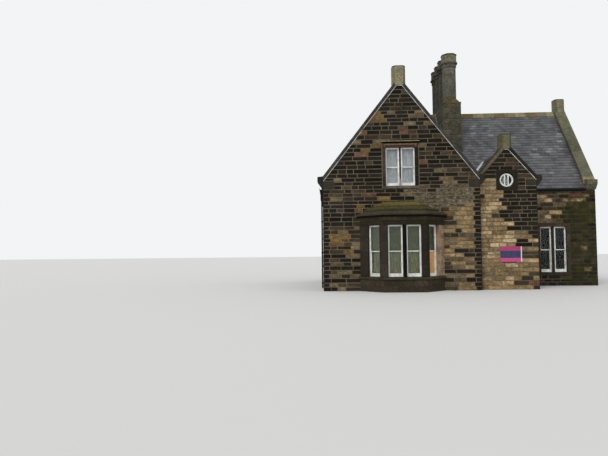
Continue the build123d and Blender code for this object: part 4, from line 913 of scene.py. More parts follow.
# Black under the roof's drip as painted shadow, a redder moulding, then black again behind the heads.
ENTABLATURE_TINTS = (
    ("#020202", "#020202", lambda c: c.z > 3.42),
    ("#3b3224", "#4c402c", lambda c: c.z > 3.28),
    ("#1e1d13", "#2a271a"),
)
MAIN_COPING_TINTS = (("#31312f", "#454542"),)
RANGE_COPING_TINTS = (
    ("#8a8362", "#9b9370", lambda c: c.z < 5.7),
    ("#66634f", "#7a7763", lambda c: c.z > 8.4),
    ("#515242", "#696956"),
)
# The stair gable's left coping is tan, and its right one as black as the main gable's.
STAIR_COPING_TINTS = (
    ("#5b5441", "#6a624c", lambda c: c.x < STAIR_AXIS),
    ("#201d1c", "#2d2927"),
)
KNEELER_TINTS = (
    ("#5b5846", "#6b6752", lambda c: c.x > 9 and c.y < 5),
    ("#282620", "#38352b"),
)
# Finials are pale olive below a dark worn rim.
FINIAL_TINTS = (
    ("#45432f", "#524f38", lambda c: c.z > 10.68 or c.z > 10.52 and c.x > 9 or 7.34 < c.z < 8.0),
    ("#75735b", "#817e66", lambda c: c.x > 9),
    ("#64624a", "#706d54", lambda c: c.x > 4),
    ("#8a866a", "#989378"),
)
# The stair bay's ridge is dark as painted shadow, and the others vary along their length.
RIDGE_TINTS = (
    ("#3f3c30", "#514d3e", lambda c: c.z < 8),
    ("#7f765b", "#978d6f", lambda c: math.sin(7.3 * c.x) > 0.4),
    ("#6d5c38", "#7c6b44", lambda c: math.sin(7.3 * c.x) < -0.5),
    ("#6a6749", "#7f7b5c"),
)
# The bay's top slab is the mossiest, and the lower ones are brown.
BAY_ROOF_TINTS = (
    ("#575029", "#6a6334", lambda c: c.z > 3.95),
    ("#39352a", "#474230", lambda c: c.z > 3.72),
    ("#312d27", "#3e392f"),
)
# The mullions are near black as painted shadow, and the range's front window's is redder than the others.
MULLION_TINTS = (
    ("#33292b", "#3e3234", lambda c: c.x > 7 and c.y < 5),
    ("#060507", "#0f0c0f"),
)
ROUND_WINDOW_TINTS = (("#1e1d18", "#26241e"),)
# A bare notice board in four flat fields.
BOARD_TINTS = (
    ("#d9d7dc", "#d9d7dc", lambda c: c.x > 5.6),
    ("#ab2369", "#ab2369", lambda c: c.z > 1.825),
    ("#1f2c50", "#1f2c50", lambda c: c.z > 1.485),
    ("#c4407f", "#c4407f"),
)
# Paint hides its ground, so painted pieces read no tint.
NO_TINTS = (("#ffffff", "#ffffff"),)

# The finishes of dressed pieces, each with the slot that the part's record has for it.
TOOLED, LICHENED = ("tooled sandstone", "dressed_stone"), ("lichened sandstone", "coping_stone")
SOOTY_COPING, IRONWORK = ("sooty sandstone", "coping_stone"), ("bitumen paint on cast iron", "black_iron")

# Ranges of tint for the stones that are laid one by one. The front upper window's right jamb takes the near
# black range, as painted shadow.
DARK_STONE, SHADOWED_JAMB_STONE = ("#332e28", "#4a4238"), ("#151113", "#211b1d")
RED_STONE, WORN_STONE, EAVE_STONE = ("#503c2e", "#634b3a"), ("#605c54", "#726d64"), ("#4e4232", "#6a5a45")
SPRINGER_STONE = hex_colour("#36352c")
MOULDING_STONES = ["#4b4833", "#57523a", "#423f30"]
# The near black that faces lean to where shade is painted on them, by the way they face.
PAINTED_SHADE = hex_colour("#0d0c0a")
# Window dressings: how far jambs, heads and sills stand out, how deep they go, half a bed's
# thickness, and how far they stay back from the coursed stones.
JAMB_PROUD, HEAD_PROUD, SILL_PROUD = 0.014, 0.016, 0.055
STONE_BACK, BED, CLEAR = 0.118, 0.003, 0.014
# Lengths of coping slabs on the two large gables and on the stair's, of ridge and eave stones, and
# the height of a jamb stone.
COPING_SLAB, STAIR_SLAB, RIDGE_LENGTH, EAVE_LENGTH, JAMB_HEIGHT = 0.95, 0.85, 0.6, 0.62, 0.42
# The foot and top of the eave course.
EAVE_FOOT, EAVE_TOP = 4.822, 4.857
# Where each finial's worn rim starts: on the main gable, the range's and the stair's.
MAIN_RIM, RANGE_RIM, STAIR_RIM = 10.69, 10.53, 7.35
# The beds of a shaft: its stop, the drums, then the mouldings of its cap.
SHAFT_BEDS = [10.1, *[10.42 + 0.37 * i for i in range(5)], 12.10, 12.16, 12.29, 12.38, 12.78]
# The thickness of lead sheet as drawn, and the width and thickness of the pointing's bead.
LEAD, BEAD_WIDTH, BEAD = 0.004, 0.03, 0.032
# The rear door: gaps between its boards, and the heights of its ledges, hinges and knob.
BOARD_GAP, LEDGES, HINGES, KNOB = 0.004, (0.45, 1.15, 1.85), (0.5, 1.9), 1.15


def solid_copy(name):
    """The solids of a node as one clean mesh in the drawing's frame."""
    bm = bmesh.new()
    bm.from_mesh(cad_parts[name].data)
    bmesh.ops.transform(bm, matrix=PLACE.inverted(), verts=bm.verts)
    bmesh.ops.remove_doubles(bm, verts=bm.verts, dist=0.0001)
    bmesh.ops.dissolve_limit(bm, angle_limit=math.radians(1), verts=bm.verts, edges=bm.edges)
    return bm


def part_blocks(bm, joints):
    """Parts a solid along planes, so that each side of a joint is a block of its own."""
    for point, normal, *within in joints:
        faces = [face for face in bm.faces if not within or within[0](face.calc_center_median())]
        edges = {edge for face in faces for edge in face.edges}
        verts = {vert for face in faces for vert in face.verts}
        made = bmesh.ops.bisect_plane(
            bm, geom=[*verts, *edges, *faces], plane_co=point, plane_no=normal, dist=0.0005)
        joint = [part for part in made["geom_cut"] if isinstance(part, bmesh.types.BMEdge)]
        bmesh.ops.split_edges(bm, edges=joint)
        rims = [edge for edge in bm.edges if edge.is_boundary]
        bmesh.ops.holes_fill(bm, edges=rims, sides=0)


def loose_blocks(bm):
    """The faces of each block that hangs together."""
    seen = set()
    blocks = []
    for start in bm.faces:
        if start in seen:
            continue
        seen.add(start)
        block, waiting = [], [start]
        while waiting:
            face = waiting.pop()
            block.append(face)
            beside = {other for edge in face.edges for other in edge.link_faces} - seen
            seen |= beside
            waiting += beside
        blocks.append(block)
    return blocks


def dress(node, name, material, slot, tints, joints=(), edge=0.006, segments=1, soot=None):
    """Stands in for a node: its solids cut into blocks, arrises worked and each block tinted."""
    rng = random.Random(3)
    bm = solid_copy(node)
    part_blocks(bm, joints)
    bevel_arrises(bm, edge, segments)
    paint = bm.loops.layers.float_color.new("tint")
    for block in loose_blocks(bm):
        centre = sum((face.calc_center_median() for face in block), Vector()) / len(block)
        colour = next(shade(rng, low, high) for low, high, *place in tints if not place or place[0](centre))
        for face in block:
            # Painted shade: faces lean to near black by the way they face.
            share = soot(face.normal, centre) if soot else 0.0
            for loop in face.loops:
                loop[paint] = mixed(colour, PAINTED_SHADE, share)
    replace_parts(make_piece(bm, name, material), node)


def coping_top_shade(normal, centre):
    """Painted shade on the upper faces of the stair gable's left coping."""
    return 0.8 if centre.x < STAIR_AXIS and normal.z > 0.3 else 0.0


def finial_corner_shade(normal, centre):
    """Painted shade: a finial's chamfered corners are darker than its front."""
    return 0.35 if abs(normal.z) <= 0.5 and 0.3 < abs(normal.x) < 0.9 else 0.0


def slope_joints(gable, spacing, crosses=0):
    """Joints square to both slopes of a gable's coping, which crosses x (0) or y (1)."""
    axis, apex, slope = gable
    length = math.hypot(1, slope)
    joints = []
    reach = spacing * 0.7
    while reach < 7:
        for side in (-1, 1):
            point, normal = UPWARDS * (apex - slope * reach / length), UPWARDS * -slope
            point[crosses], normal[crosses] = axis + side * reach / length, side
            joints.append((point, normal, lambda centre, side=side: (centre[crosses] - axis) * side > 0))
        reach += spacing
    return joints


def joints_along(normal, *places, within=lambda centre: True):
    """Joints square to a direction, at places along it."""
    return [(normal * place, normal, within) for place in places]


def parted(start, end, count):
    """The two ends of each part of a run that is divided evenly."""
    places = [start + (end - start) * i / count for i in range(count + 1)]
    return list(zip(places, places[1:]))


def lay_jambs(stones, rng, turn, middle, inner, outer, foot, head, count, tints):
    """The two jambs of an opening, left then right, each in stones of one height."""
    for side, ends in zip((-1, 1), tints):
        left, right = sorted((middle + side * inner, middle + side * outer))
        for low, high in parted(foot, head, count):
            stones.between((left, -JAMB_PROUD, low + BED), (right, STONE_BACK, high - BED),
                           shade(rng, *ends), turn)


def valley(lead, ends, out, lift, width):
    """A strip of lead along a valley, lifted clear of the slates' feet."""
    lead.strip(*[Vector(end) + out * lift for end in ends], width, LEAD, out)


# Cloth

# Each kind of sheet: its cloth, how far its rod stands in from the wall's face, the width of a
# pleat and how far the pleats swing.
NET = ("cotton net", 0.29, 0.09, 0.004)
ROUND_NET = ("cotton net", 0.24, 0.08, 0.003)
# The curtains are near black, as painted shade of the rooms behind them.
CURTAIN = ("green wool darkened as painted shade", 0.4, 0.13, 0.02)
BAY_CURTAIN = ("faded curtain cotton", 0.28, 0.11, 0.008)
BAY_BLIND = ("holland blind cloth", 0.252, 0.3, 0.0)
# What is left free on each side of a sheet.
SHEET_GAP = 0.003


def hang_sheet(name, kind, place, left, right, top, bottom, rod=0.009, rod_ends=0.006):
    """A curtain or a blind on its rod, which bears on what is beside it; pleats open out downwards."""
    material, depth, pleat, swing = kind
    width, length = right - left, top - bottom
    middle = (left + right) / 2
    rail = bmesh.new()
    lie = Matrix.Translation((middle, depth, top + rod + 0.002)) @ Matrix.Rotation(math.pi / 2, 4, "Y")
    bmesh.ops.create_cone(rail, cap_ends=True, segments=12, radius1=rod, radius2=rod,
                          depth=width + 2 * rod_ends, matrix=place @ lie)
    rail = make_piece(rail, name + "_rod", "lacquered brass")
    bm = bmesh.new()
    uv = bm.loops.layers.uv.new("cloth")
    matrix = (Matrix.Translation((middle, depth, (top + bottom) / 2))
              @ Matrix.Rotation(math.pi / 2, 4, "X") @ Matrix.Diagonal((width, length, 1, 1)))
    bmesh.ops.create_grid(bm, x_segments=max(12, round(width / pleat * 10)), y_segments=10, size=0.5,
                          matrix=matrix, calc_uvs=True)
    rng = random.Random(name)
    phase, second = rng.uniform(0, 6), rng.uniform(0, 6)
    for vert in bm.verts:
        across, drop = vert.co.x - left, (top - vert.co.z) / length
        fold = math.sin(2 * math.pi * across / pleat + phase + 0.6 * math.sin(3 * drop + second))
        slow = math.sin(2 * math.pi * across / (3.3 * pleat) + second)
        vert.co.y += swing * (0.45 + 0.55 * drop) * (fold + 0.4 * slow)
    area = sum(face.calc_area() for face in bm.faces)
    for face in bm.faces:
        for loop in face.loops:
            loop[uv].uv = (loop[uv].uv.x * area / length, loop[uv].uv.y * length)
    cloth = make_piece(bm, name, material, PLACE @ place)


# Settings

LENGTH = {"subtype": "DISTANCE", "unit": "LENGTH"}


class StationStoneSettings(bpy.types.PropertyGroup):
    """Sizes of the coursed stonework."""

    joint: FloatProperty(
        name="Joint width",
        description="Width of the mortar joints; a little wide, so that they show from afar",
        default=0.022, min=0.005, max=0.05, **LENGTH)
    relief: FloatProperty(
        name="Rock face", description="How far a stone's rough face stands out from its margin",
        default=0.014, min=0.0, max=0.03, **LENGTH)


class StationSlateSettings(bpy.types.PropertyGroup):
    """Sizes of the slating."""

    gauge: FloatProperty(
        name="Gauge", description="Exposed height of a slate", default=0.2, min=0.08, max=0.4, **LENGTH)
    width: FloatProperty(
        name="Slate width", description="Width of a slate", default=0.27, min=0.1, max=0.5, **LENGTH)


class StationStageSettings(bpy.types.PropertyGroup):
    """Floor, light and background."""

    floor_colour: FloatVectorProperty(
        name="Floor", description="Colour of the floor", default=hex_colour("#d9d8d4")[:3], size=3,
        subtype="COLOR", min=0.0, max=1.0)
    sky_level: FloatProperty(
        name="Sky light", description="Strength of the even light from all round", default=0.75,
        min=0.0, max=3.0)
    sun_level: FloatProperty(
        name="Sun light", description="Strength of the soft light from the front left", default=1.3,
        min=0.0, max=10.0)


# Operators


class STATION_OT_set_stage(bpy.types.Operator):
    """Set the camera, the soft daylight, the pale floor and the pale background"""

    bl_idname = "station.set_stage"
    bl_label = "Set stage"

    def execute(self, context):
        scene = context.scene
        settings = scene.station_stage
        camera = bpy.data.cameras.new("camera")
        camera.sensor_width = FILM_WIDTH
        camera.lens = FOCAL_PIXELS * FILM_WIDTH / PHOTO_PIXELS
        camera.clip_end = 500
        holder = bpy.data.objects.new("camera", camera)
        scene.collection.objects.link(holder)
        turn = UNTURNED
        for angle, axis in ((CAMERA_YAW, "Z"), (90 + CAMERA_PITCH, "X"), (CAMERA_ROLL, "Z")):
            turn = turn @ Matrix.Rotation(math.radians(angle), 4, axis)
        holder.matrix_world = PLACE @ Matrix.Translation(CAMERA_PLACE) @ turn
        scene.camera = holder
        bm = bmesh.new()
        bmesh.ops.create_grid(bm, x_segments=1, y_segments=1, size=FLOOR_REACH)
        mesh = bpy.data.meshes.new("floor")
        bm.to_mesh(mesh)
        bm.free()
        mesh.materials.append(finish("matt floor paint"))
        floor = bpy.data.objects.new("floor", mesh)
        floor.location.z = -FLOOR_DROP
        scene.collection.objects.link(floor)
        sun = bpy.data.lights.new("daylight", "SUN")
        sun.energy = settings.sun_level
        sun.angle = math.radians(SUN_SPREAD)
        lamp = bpy.data.objects.new("daylight", sun)
        lamp.rotation_euler = [math.radians(angle) for angle in SUN_TURN]
        scene.collection.objects.link(lamp)
        world = bpy.data.worlds.new("even daylight")
        world.use_nodes = True
        tree = world.node_tree
        tree.nodes.clear()
        # The camera, mirrors and glass see the background, and all else is lit by the sky.
        seen = add_node(tree, "LightPath").outputs
        direct = add_node(tree, "Math", LARGER, Value=[seen["Is Camera Ray"], seen["Is Glossy Ray"]])
        shown = add_node(tree, "Math", LARGER, Value=[direct, seen["Is Transmission Ray"]])
        light = add_node(tree, "Background", Color="#f4f6fa", Strength=settings.sky_level)
        backdrop = add_node(tree, "Background", Color="#f3f4f5", Strength=1.0)
        both = add_node(tree, "MixShader", Fac=shown, Shader=[light, backdrop])
        add_node(tree, "OutputWorld", Surface=both)
        scene.world = world
        scene.view_settings.view_transform = "Standard"
        return {"FINISHED"}


class STATION_OT_finish_solids(bpy.types.Operator):
    """Give every solid of the part the finish of what it is made of"""

    bl_idname = "station.finish_solids"
    bl_label = "Finish solids"

    def execute(self, context):
        for name, nodes in CAD_FINISHES.items():
            for node in nodes:
                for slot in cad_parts[node].material_slots:
                    slot.material = finish(name)
        return {"FINISHED"}


class STATION_OT_lay_stones(bpy.types.Operator):
    """Lay the coursed stones of every wall"""

    bl_idname = "station.lay_stones"
    bl_label = "Lay wall stones"

    def execute(self, context):
        sizes = context.scene.station_stone
        for seed, wall in enumerate(WALLS, 11):
            lay_wall(wall, sizes.joint, sizes.relief, seed)
        return {"FINISHED"}


class STATION_OT_lay_slates(bpy.types.Operator):
    """Lay the slates of all roof slopes"""

    bl_idname = "station.lay_slates"
    bl_label = "Lay slates"

    def execute(self, context):
        sizes = context.scene.station_slate
        lay_roofs(sizes.gauge, sizes.width)
        return {"FINISHED"}


class STATION_OT_dress_gables(bpy.types.Operator):
    """Cut the copings, kneelers, finials and ridges into stones and lay the springers"""

    bl_idname = "station.dress_gables"
    bl_label = "Dress gables"

    def execute(self, context):
        dress("main_copings", "main_coping_slabs", *SOOTY_COPING, MAIN_COPING_TINTS,
              slope_joints(MAIN_GABLE, COPING_SLAB), 0.008)
        dress("range_gable_coping", "range_coping_slabs", *LICHENED, RANGE_COPING_TINTS,
              slope_joints(RANGE_GABLE, COPING_SLAB, 1), 0.008)
        dress("stair_bay_coping", "stair_coping_slabs", *SOOTY_COPING, STAIR_COPING_TINTS,
              slope_joints(STAIR_GABLE, STAIR_SLAB), 0.008, soot=coping_top_shade)
        dress("kneelers", "kneeler_stones", *SOOTY_COPING, KNEELER_TINTS, (), 0.008)
        rims = [
            *joints_along(UPWARDS, MAIN_RIM, within=lambda c: c.x < 1),
            *joints_along(UPWARDS, RANGE_RIM, within=lambda c: c.x > 9),
            *joints_along(UPWARDS, STAIR_RIM, within=lambda c: c.z < 8.0 and c.y < 2),
        ]
        dress("finials", "finial_stones", *LICHENED, FINIAL_TINTS, rims, 0.01, soot=finial_corner_shade)
        ridge_lengths = [
            *joints_along(INWARDS, *[0.54 + RIDGE_LENGTH * i for i in range(1, 14)],
                          within=lambda c: c.x < 2.9 or c.z < 8),
            *joints_along(ACROSS, *[STACK[1] + RIDGE_LENGTH * i for i in range(1, 10)],
                          within=lambda c: c.z > 8 and c.x > 3.9),
        ]
        dress("ridge_stones", "ridge_pieces", "lichened sandstone", "ridge_stone", RIDGE_TINTS,
              ridge_lengths, 0.008, 2)
        springers = Blocks()
        for places, y in ((MAIN_SPRINGERS, 0), (STAIR_SPRINGERS, STAIR_FRONT)):
            for left, right, low, high in places:
                springers.between((left + 0.01, y - 0.018, low + 0.02),
                                  (right + 0.008, y + 0.012, high - 0.008), SPRINGER_STONE)
        springers.piece("springer_stones", *SOOTY_COPING, 0.016, 2)
        return {"FINISHED"}


class STATION_OT_dress_chimneys(bpy.types.Operator):
    """Build the octagonal shafts in drums, with their caps, on the stack's moulding"""

    bl_idname = "station.dress_chimneys"
    bl_label = "Dress chimneys"

    def execute(self, context):
        dress("chimney_shafts", "shaft_drums", "tooled sandstone", "chimney_stone", SHAFT_TINTS,
              joints_along(UPWARDS, *SHAFT_BEDS))
        left, right, front, back, top = STACK
        moulding = Blocks()
        for number, (start, end) in enumerate(parted(front - 0.03, back + 0.03, 5)):
            tint = hex_colour(random.Random(number).choice(MOULDING_STONES))
            moulding.between((left - 0.03, start + 0.003, top - 0.08),
                             (right + 0.03, end - 0.003, top + 0.02), tint)
        moulding.piece("stack_top_moulding", "mossy sandstone", "chimney_stone", 0.022, 2)
        return {"FINISHED"}


class STATION_OT_dress_bay(bpy.types.Operator):
    """Cut the bay's base, sill, posts, entablature and stepped roof into stones"""

    bl_idname = "station.dress_bay"
    bl_label = "Dress bay"

    def execute(self, context):
        middle = BAY_MITRES + joints_along(ACROSS, 0.0)
        dress("bay_dwarf_wall", "bay_base_stones", *TOOLED, BAY_BASE_TINTS,
              BAY_MITRES + joints_along(UPWARDS, 0.28) + joints_along(ACROSS, -0.3, 0.4), 0.008)
        dress("bay_sill", "bay_sill_stones", *TOOLED, BAY_SILL_TINTS, middle, 0.012, 2)
        dress("bay_posts", "bay_post_stones", *TOOLED, POST_TINTS,
              joints_along(UPWARDS, 1.28, 1.87, 2.46), 0.008)
        dress("bay_entablature", "bay_entablature_stones", *TOOLED, ENTABLATURE_TINTS,
              BAY_MITRES + joints_along(ACROSS, 0.1) + joints_along(UPWARDS, 3.28, 3.42), 0.01, 2)
        dress("bay_roof", "bay_roof_slabs", "mossy sandstone", "bay_roof_stone", BAY_ROOF_TINTS,
              middle + joints_along(UPWARDS, 3.7367, 3.9633), 0.012, 2)
        return {"FINISHED"}


class STATION_OT_dress_windows(bpy.types.Operator):
    """Set the jambs, heads, sills and mullions of the windows"""

    bl_idname = "station.dress_windows"
    bl_label = "Dress windows"

    def execute(self, context):
        rng = random.Random(21)
        jambs, heads, sills = Blocks(), Blocks(), Blocks()
        for name, x, y, angle, (width, sill, head) in WINDOWS:
            turn = on_wall(x, y, angle)
            inner, reach = width / 2 - 0.004, width / 2 + JAMB - CLEAR
            # The front upper window's right jamb is near black, as painted shadow.
            right = SHADOWED_JAMB_STONE if name == "front_upper" else DARK_STONE
            lay_jambs(jambs, rng, turn, 0, inner, reach, sill, head, round((head - sill) / JAMB_HEIGHT),
                      (DARK_STONE, right))
            heads.between((-reach, -HEAD_PROUD, head + BED), (reach, STONE_BACK, head + LINTEL - CLEAR),
                          shade(rng, *RED_STONE), turn)
            worn = WORN_STONE if sill > UPSTAIRS else DARK_STONE
            made = sills.between((-reach, -SILL_PROUD, sill - SILL + 0.012),
                                 (reach, STONE_BACK, sill - 0.002), shade(rng, *worn), turn)
            # The sill's top falls towards its front edge.
            top = max(vert.co.z for vert in made)
            for vert in made:
                if vert.co.z > top - 0.01 and (turn.inverted() @ vert.co).y < 0:
                    vert.co.z -= 0.03
        turn = on_wall(0, RANGE_BACK, 180)
        reach = DOOR_HALF + JAMB - CLEAR
        heads.between((DOOR_CENTRE - reach, -HEAD_PROUD, DOOR_HEAD + BED),
                      (DOOR_CENTRE + reach, STONE_BACK, DOOR_HEAD + 0.16),
                      mixed(*[hex_colour(text) for text in RED_STONE], 0.5), turn)
        lay_jambs(jambs, rng, turn, DOOR_CENTRE, DOOR_HALF - 0.004, DOOR_HALF + JAMB - 0.022,
                  0, DOOR_HEAD, 5, (DARK_STONE, DARK_STONE))
        jambs.piece("window_jamb_stones", *TOOLED, 0.008)
        made = heads.piece("window_head_stones", "tooled sandstone", "lintel_stone", 0.008)
        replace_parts(made, "window_lintels")
        made = sills.piece("window_sill_stones", *TOOLED, 0.008)
        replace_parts(made, "window_sills")
        dress("window_mullions", "mullion_stones", *TOOLED, MULLION_TINTS, (), 0.01)
        dress("hood_mould", "hood_stones", "lichened sandstone", "dressed_stone", HOOD_TINTS,
              joints_along(UPWARDS, 6.9, 6.96, 7.05) + joints_along(ACROSS, -0.72, 0.72), 0.004)
        dress("round_window_surround", "round_window_stone", *TOOLED, ROUND_WINDOW_TINTS)
        # The front window's mullion is mended in cement, narrower above its foot.
        repair = Blocks()
        foot = UPPER[1]
        for vert in repair.between((-0.045, 0.06, foot - 0.012), (0.045, 0.1, 5.4)):
            if vert.co.z > foot + 0.1 and vert.co.x > 0:
                vert.co.x = -0.02
        repair.piece("mullion_repair", "cement mortar", "dressed_stone", 0.003)
        return {"FINISHED"}


class STATION_OT_dress_eaves(bpy.types.Operator):
    """Lay the thin stone course under the gutters, which carries the slates' feet"""

    bl_idname = "station.dress_eaves"
    bl_label = "Dress eaves"

    def execute(self, context):
        rng = random.Random(8)
        eaves = Blocks()
        for x, y, angle, start, end in (
            (0, RANGE_FRONT - EAVE, 0, STAIR_RIGHT + EAVE, INSIDE_RIGHT),
            (0, RANGE_BACK + EAVE, 180, -INSIDE_RIGHT, -MAIN_HALF),
            (-MAIN_HALF - EAVE, 0, -90, -INSIDE_BACK, -WALL),
            (STAIR_RIGHT + EAVE, 0, 90, STAIR_FRONT + WALL, RANGE_FRONT - EAVE),
        ):
            for a, b in parted(start, end, round((end - start) / EAVE_LENGTH)):
                eaves.between((a + 0.004, -0.016, EAVE_FOOT), (b - 0.004, 0.01, EAVE_TOP),
                              shade(rng, *EAVE_STONE), on_wall(x, y, angle))
        eaves.piece("eave_stones", *TOOLED, 0.004)
        return {"FINISHED"}


class STATION_OT_point_copings(bpy.types.Operator):
    """Run the pale pointing under the copings and finials of the two front gables"""

    bl_idname = "station.point_copings"
    bl_label = "Point copings"

    def execute(self, context):
        pointing = Blocks()
        for (axis, apex, slope), half, y, first, sides in (
            (MAIN_GABLE, MAIN_HALF, 0, 0.13, (-1, 1)), (STAIR_GABLE, 1.375, STAIR_FRONT, 0.08, (1,)),
        ):
            y -= BEAD / 2
            seat = apex - slope * first - 0.02
            for side in sides:
                start = (axis + side * first, y, seat)
                end = (axis + side * (half - 0.01), y, apex - slope * half - 0.0072)
                pointing.strip(start, end, BEAD_WIDTH, BEAD, -INWARDS)
            pointing.strip((axis - first, y, seat), (axis + first, y, seat), BEAD_WIDTH, BEAD, -INWARDS)
        pointing.piece("coping_pointing", "pale pointing", "rubble_stone", 0.008, 2)
        return {"FINISHED"}


class STATION_OT_lay_lead(bpy.types.Operator):
    """Lay the lead of the valleys and the stack"""

    bl_idname = "station.lay_lead"
    bl_label = "Lay lead"

    def execute(self, context):
        lead = Blocks()
        main, across, stair = MAIN_GABLE[2], RANGE_GABLE[2], STAIR_GABLE[2]
        # Between the main roof's foot and the stair bay's.
        x, foot = MAIN_HALF + 0.02, slates_at(MAIN_GABLE, MAIN_HALF) + 0.03
        lead.strip((x, 0.87, foot), (x, RANGE_FRONT, foot), 0.16, LEAD, UPWARDS)
        # Between the stair bay's roof and the range's front slope.
        for side, places in ((-1, (3.75, 5.0)), (1, (5.12, 6.4))):
            out = Vector((side * stair, 0, 1)).normalized() + Vector((0, -across, 1)).normalized()
            heights = [slates_at(STAIR_GABLE, x) for x in places]
            ends = [(x, RANGE_AXIS - (slates_at(RANGE_GABLE, RANGE_AXIS) - height) / across, height)
                    for x, height in zip(places, heights)]
            valley(lead, ends, out.normalized(), 0.085, 0.15)
        # Between the main roof and the range's two slopes.
        for side, y in ((-1, RANGE_FRONT), (1, INSIDE_BACK)):
            x = across * abs(y - RANGE_AXIS) / main
            top = (0.2, RANGE_AXIS + (y - RANGE_AXIS) * 0.2 / x, slates_at(MAIN_GABLE, 0.2))
            out = Vector((main, side * across, 2)).normalized()
            valley(lead, ((x, y, slates_at(RANGE_GABLE, y)), top), out, 0.09, 0.18)
        # Round the stack: stepped up its sides, and straight along its front and back.
        left, right, front, back, top = STACK
        for x, out in ((left - 0.02, -ACROSS), (right + 0.02, ACROSS)):
            for a, b in parted(front, RANGE_AXIS, 12) + parted(back, RANGE_AXIS, 12):
                low, high = slates_at(RANGE_GABLE, a) - 0.05, slates_at(RANGE_GABLE, b) + 0.05
                middle = (low + high) / 2
                lead.strip((x, a, middle), (x, b, middle), high - low, LEAD, out)
        for y, out in ((front - 0.02, -INWARDS), (back + 0.02, INWARDS)):
            height = slates_at(RANGE_GABLE, y) + 0.06
            lead.strip((left - 0.01, y, height), (right + 0.01, y, height), 0.2, LEAD, out)
        lead.piece("lead_flashings", "rolled lead")
        return {"FINISHED"}


class STATION_OT_fit_joinery(bpy.types.Operator):
    """Fit the sashes, frames, gutters and pipes, with their edges eased"""

    bl_idname = "station.fit_joinery"
    bl_label = "Fit joinery"

    def execute(self, context):
        for node, name in (
            ("bay_sashes", "bay_sash_joinery"), ("upper_sashes", "upper_sash_joinery"),
            ("lower_sashes", "lower_sash_joinery"), ("round_window_frame", "round_window_joinery"),
            ("rear_door_frame", "door_frame_joinery"),
        ):
            dress(node, name, "white gloss paint", "white_paint", NO_TINTS, (), 0.004)
        dress("gutters", "gutter_castings", *IRONWORK, NO_TINTS, (), 0.006)
        dress("downpipes", "pipe_castings", *IRONWORK, NO_TINTS, (), 0.003)
        return {"FINISHED"}


class STATION_OT_fit_door(bpy.types.Operator):
    """Hang the rear door: boards with open joints, ledges, strap hinges and a turned knob"""

    bl_idname = "station.fit_door"
    bl_label = "Fit rear door"

    def execute(self, context):
        low, high = [PLACE.inverted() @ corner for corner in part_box("rear_door")]
        door = Blocks()
        for a, b in parted(low.x, high.x, 6):
            door.between((a + BOARD_GAP / 2, low.y + 0.012, low.z), (b - BOARD_GAP / 2, high.y, high.z))
        bevel_arrises(door.bm, 0.004, 2)
        for height in LEDGES:
            door.between((low.x + 0.03, low.y, height), (high.x - 0.03, low.y + 0.02, height + 0.14))
        made = door.piece("rear_door_boards", "red gloss paint", "door_paint")
        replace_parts(made, "rear_door")
        iron = Blocks()
        for height in HINGES:
            iron.between((low.x + 0.01, high.y - 0.001, height),
                         (low.x + 0.5, high.y + 0.006, height + 0.045))
        x, y = high.x - 0.07, high.y
        stem = Matrix.Translation((x, y + 0.01, KNOB)) @ Matrix.Rotation(math.pi / 2, 4, "X")
        bmesh.ops.create_cone(iron.bm, cap_ends=True, segments=24, radius1=0.028, radius2=0.02, depth=0.02,
                              matrix=stem)
        bmesh.ops.create_uvsphere(iron.bm, u_segments=20, v_segments=12, radius=0.03,
                                  matrix=Matrix.Translation((x, y + 0.045, KNOB)))
        iron.piece("door_ironwork", *IRONWORK)
        return {"FINISHED"}


class STATION_OT_fit_board(bpy.types.Operator):
    """Fix the notice board by the stair window, with nothing written on it"""

    bl_idname = "station.fit_board"
    bl_label = "Fit notice board"

    def execute(self, context):
        dress("notice_board", "board_sheet", "sign enamel", "board_paint", BOARD_TINTS,
              joints_along(UPWARDS, 1.485, 1.825) + joints_along(ACROSS, 5.61), 0.002)
        return {"FINISHED"}


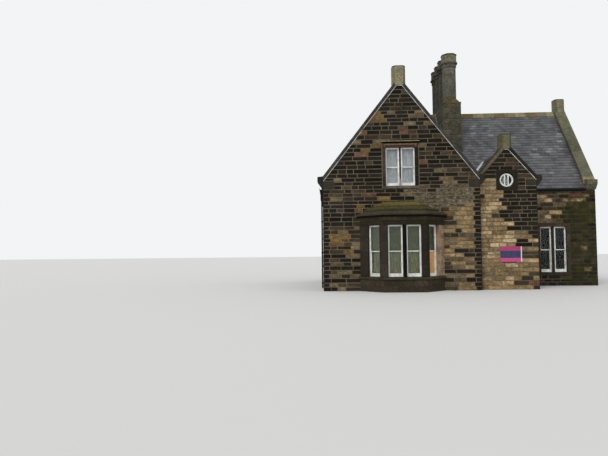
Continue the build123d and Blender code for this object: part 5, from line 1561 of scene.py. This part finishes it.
class STATION_OT_hang_cloth(bpy.types.Operator):
    """Hang nets upstairs, dark curtains downstairs, and blinds and drawn curtains in the bay"""

    bl_idname = "station.hang_cloth"
    bl_label = "Hang curtains"

    def execute(self, context):
        for name, x, y, angle, (width, sill, head) in WINDOWS:
            label, kind, mullion = ("net", NET, 0.04) if sill > UPSTAIRS else ("curtain", CURTAIN, 0.0785)
            for side, hand in ((-1, "left"), (1, "right")):
                left, right = sorted((side * (mullion + SHEET_GAP), side * (width / 2 - SHEET_GAP)))
                hang_sheet(f"{label}_{name}_{hand}", kind, on_wall(x, y, angle), left, right,
                           head - 0.05, sill + 0.01)
        hang_sheet("net_round_window", ROUND_NET, on_wall(STAIR_AXIS, STAIR_FRONT, 0), -0.165, 0.165,
                   5.45, 4.94, rod_ends=0.015)
        for number, (x, y, angle, width) in enumerate(BAY_LIGHTS, 1):
            place, half = on_wall(x, y, angle), width / 2 - SHEET_GAP
            hang_sheet(f"bay_blind_{number}", BAY_BLIND, place, -half, half, 3.02, 1.88, 0.008)
            hang_sheet(f"bay_curtain_{number}", BAY_CURTAIN, place, -half, half, 2.98, 0.72)
        return {"FINISHED"}


STEPS = [
    STATION_OT_set_stage, STATION_OT_finish_solids, STATION_OT_lay_stones, STATION_OT_lay_slates,
    STATION_OT_dress_gables, STATION_OT_dress_chimneys, STATION_OT_dress_bay, STATION_OT_dress_windows,
    STATION_OT_dress_eaves, STATION_OT_point_copings, STATION_OT_lay_lead, STATION_OT_fit_joinery,
    STATION_OT_fit_door, STATION_OT_fit_board, STATION_OT_hang_cloth,
]
GROUPS = {
    "station_stone": StationStoneSettings,
    "station_slate": StationSlateSettings,
    "station_stage": StationStageSettings,
}


class STATION_PT_panel(bpy.types.Panel):
    """The station house's pieces, in the order in which they are made"""

    bl_idname = "STATION_PT_panel"
    bl_label = "Station house"
    bl_space_type = "VIEW_3D"
    bl_region_type = "UI"
    bl_category = "Station"

    def draw(self, context):
        column = self.layout.column()
        for step in STEPS:
            column.operator(step.bl_idname)
        for name in GROUPS:
            group = getattr(context.scene, name)
            box = self.layout.box()
            for size in group.bl_rna.properties.keys():
                if size not in ("rna_type", "name"):
                    box.prop(group, size)


def register():
    for made in (*GROUPS.values(), *STEPS, STATION_PT_panel):
        bpy.utils.register_class(made)
    for name, group in GROUPS.items():
        setattr(bpy.types.Scene, name, PointerProperty(type=group))


def unregister():
    for name in GROUPS:
        delattr(bpy.types.Scene, name)
    for made in reversed((*GROUPS.values(), *STEPS, STATION_PT_panel)):
        bpy.utils.unregister_class(made)


def main():
    register()
    for step in STEPS:
        getattr(bpy.ops.station, step.bl_idname.split(".")[1])()
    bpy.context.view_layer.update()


if __name__ == "__main__":
    main()
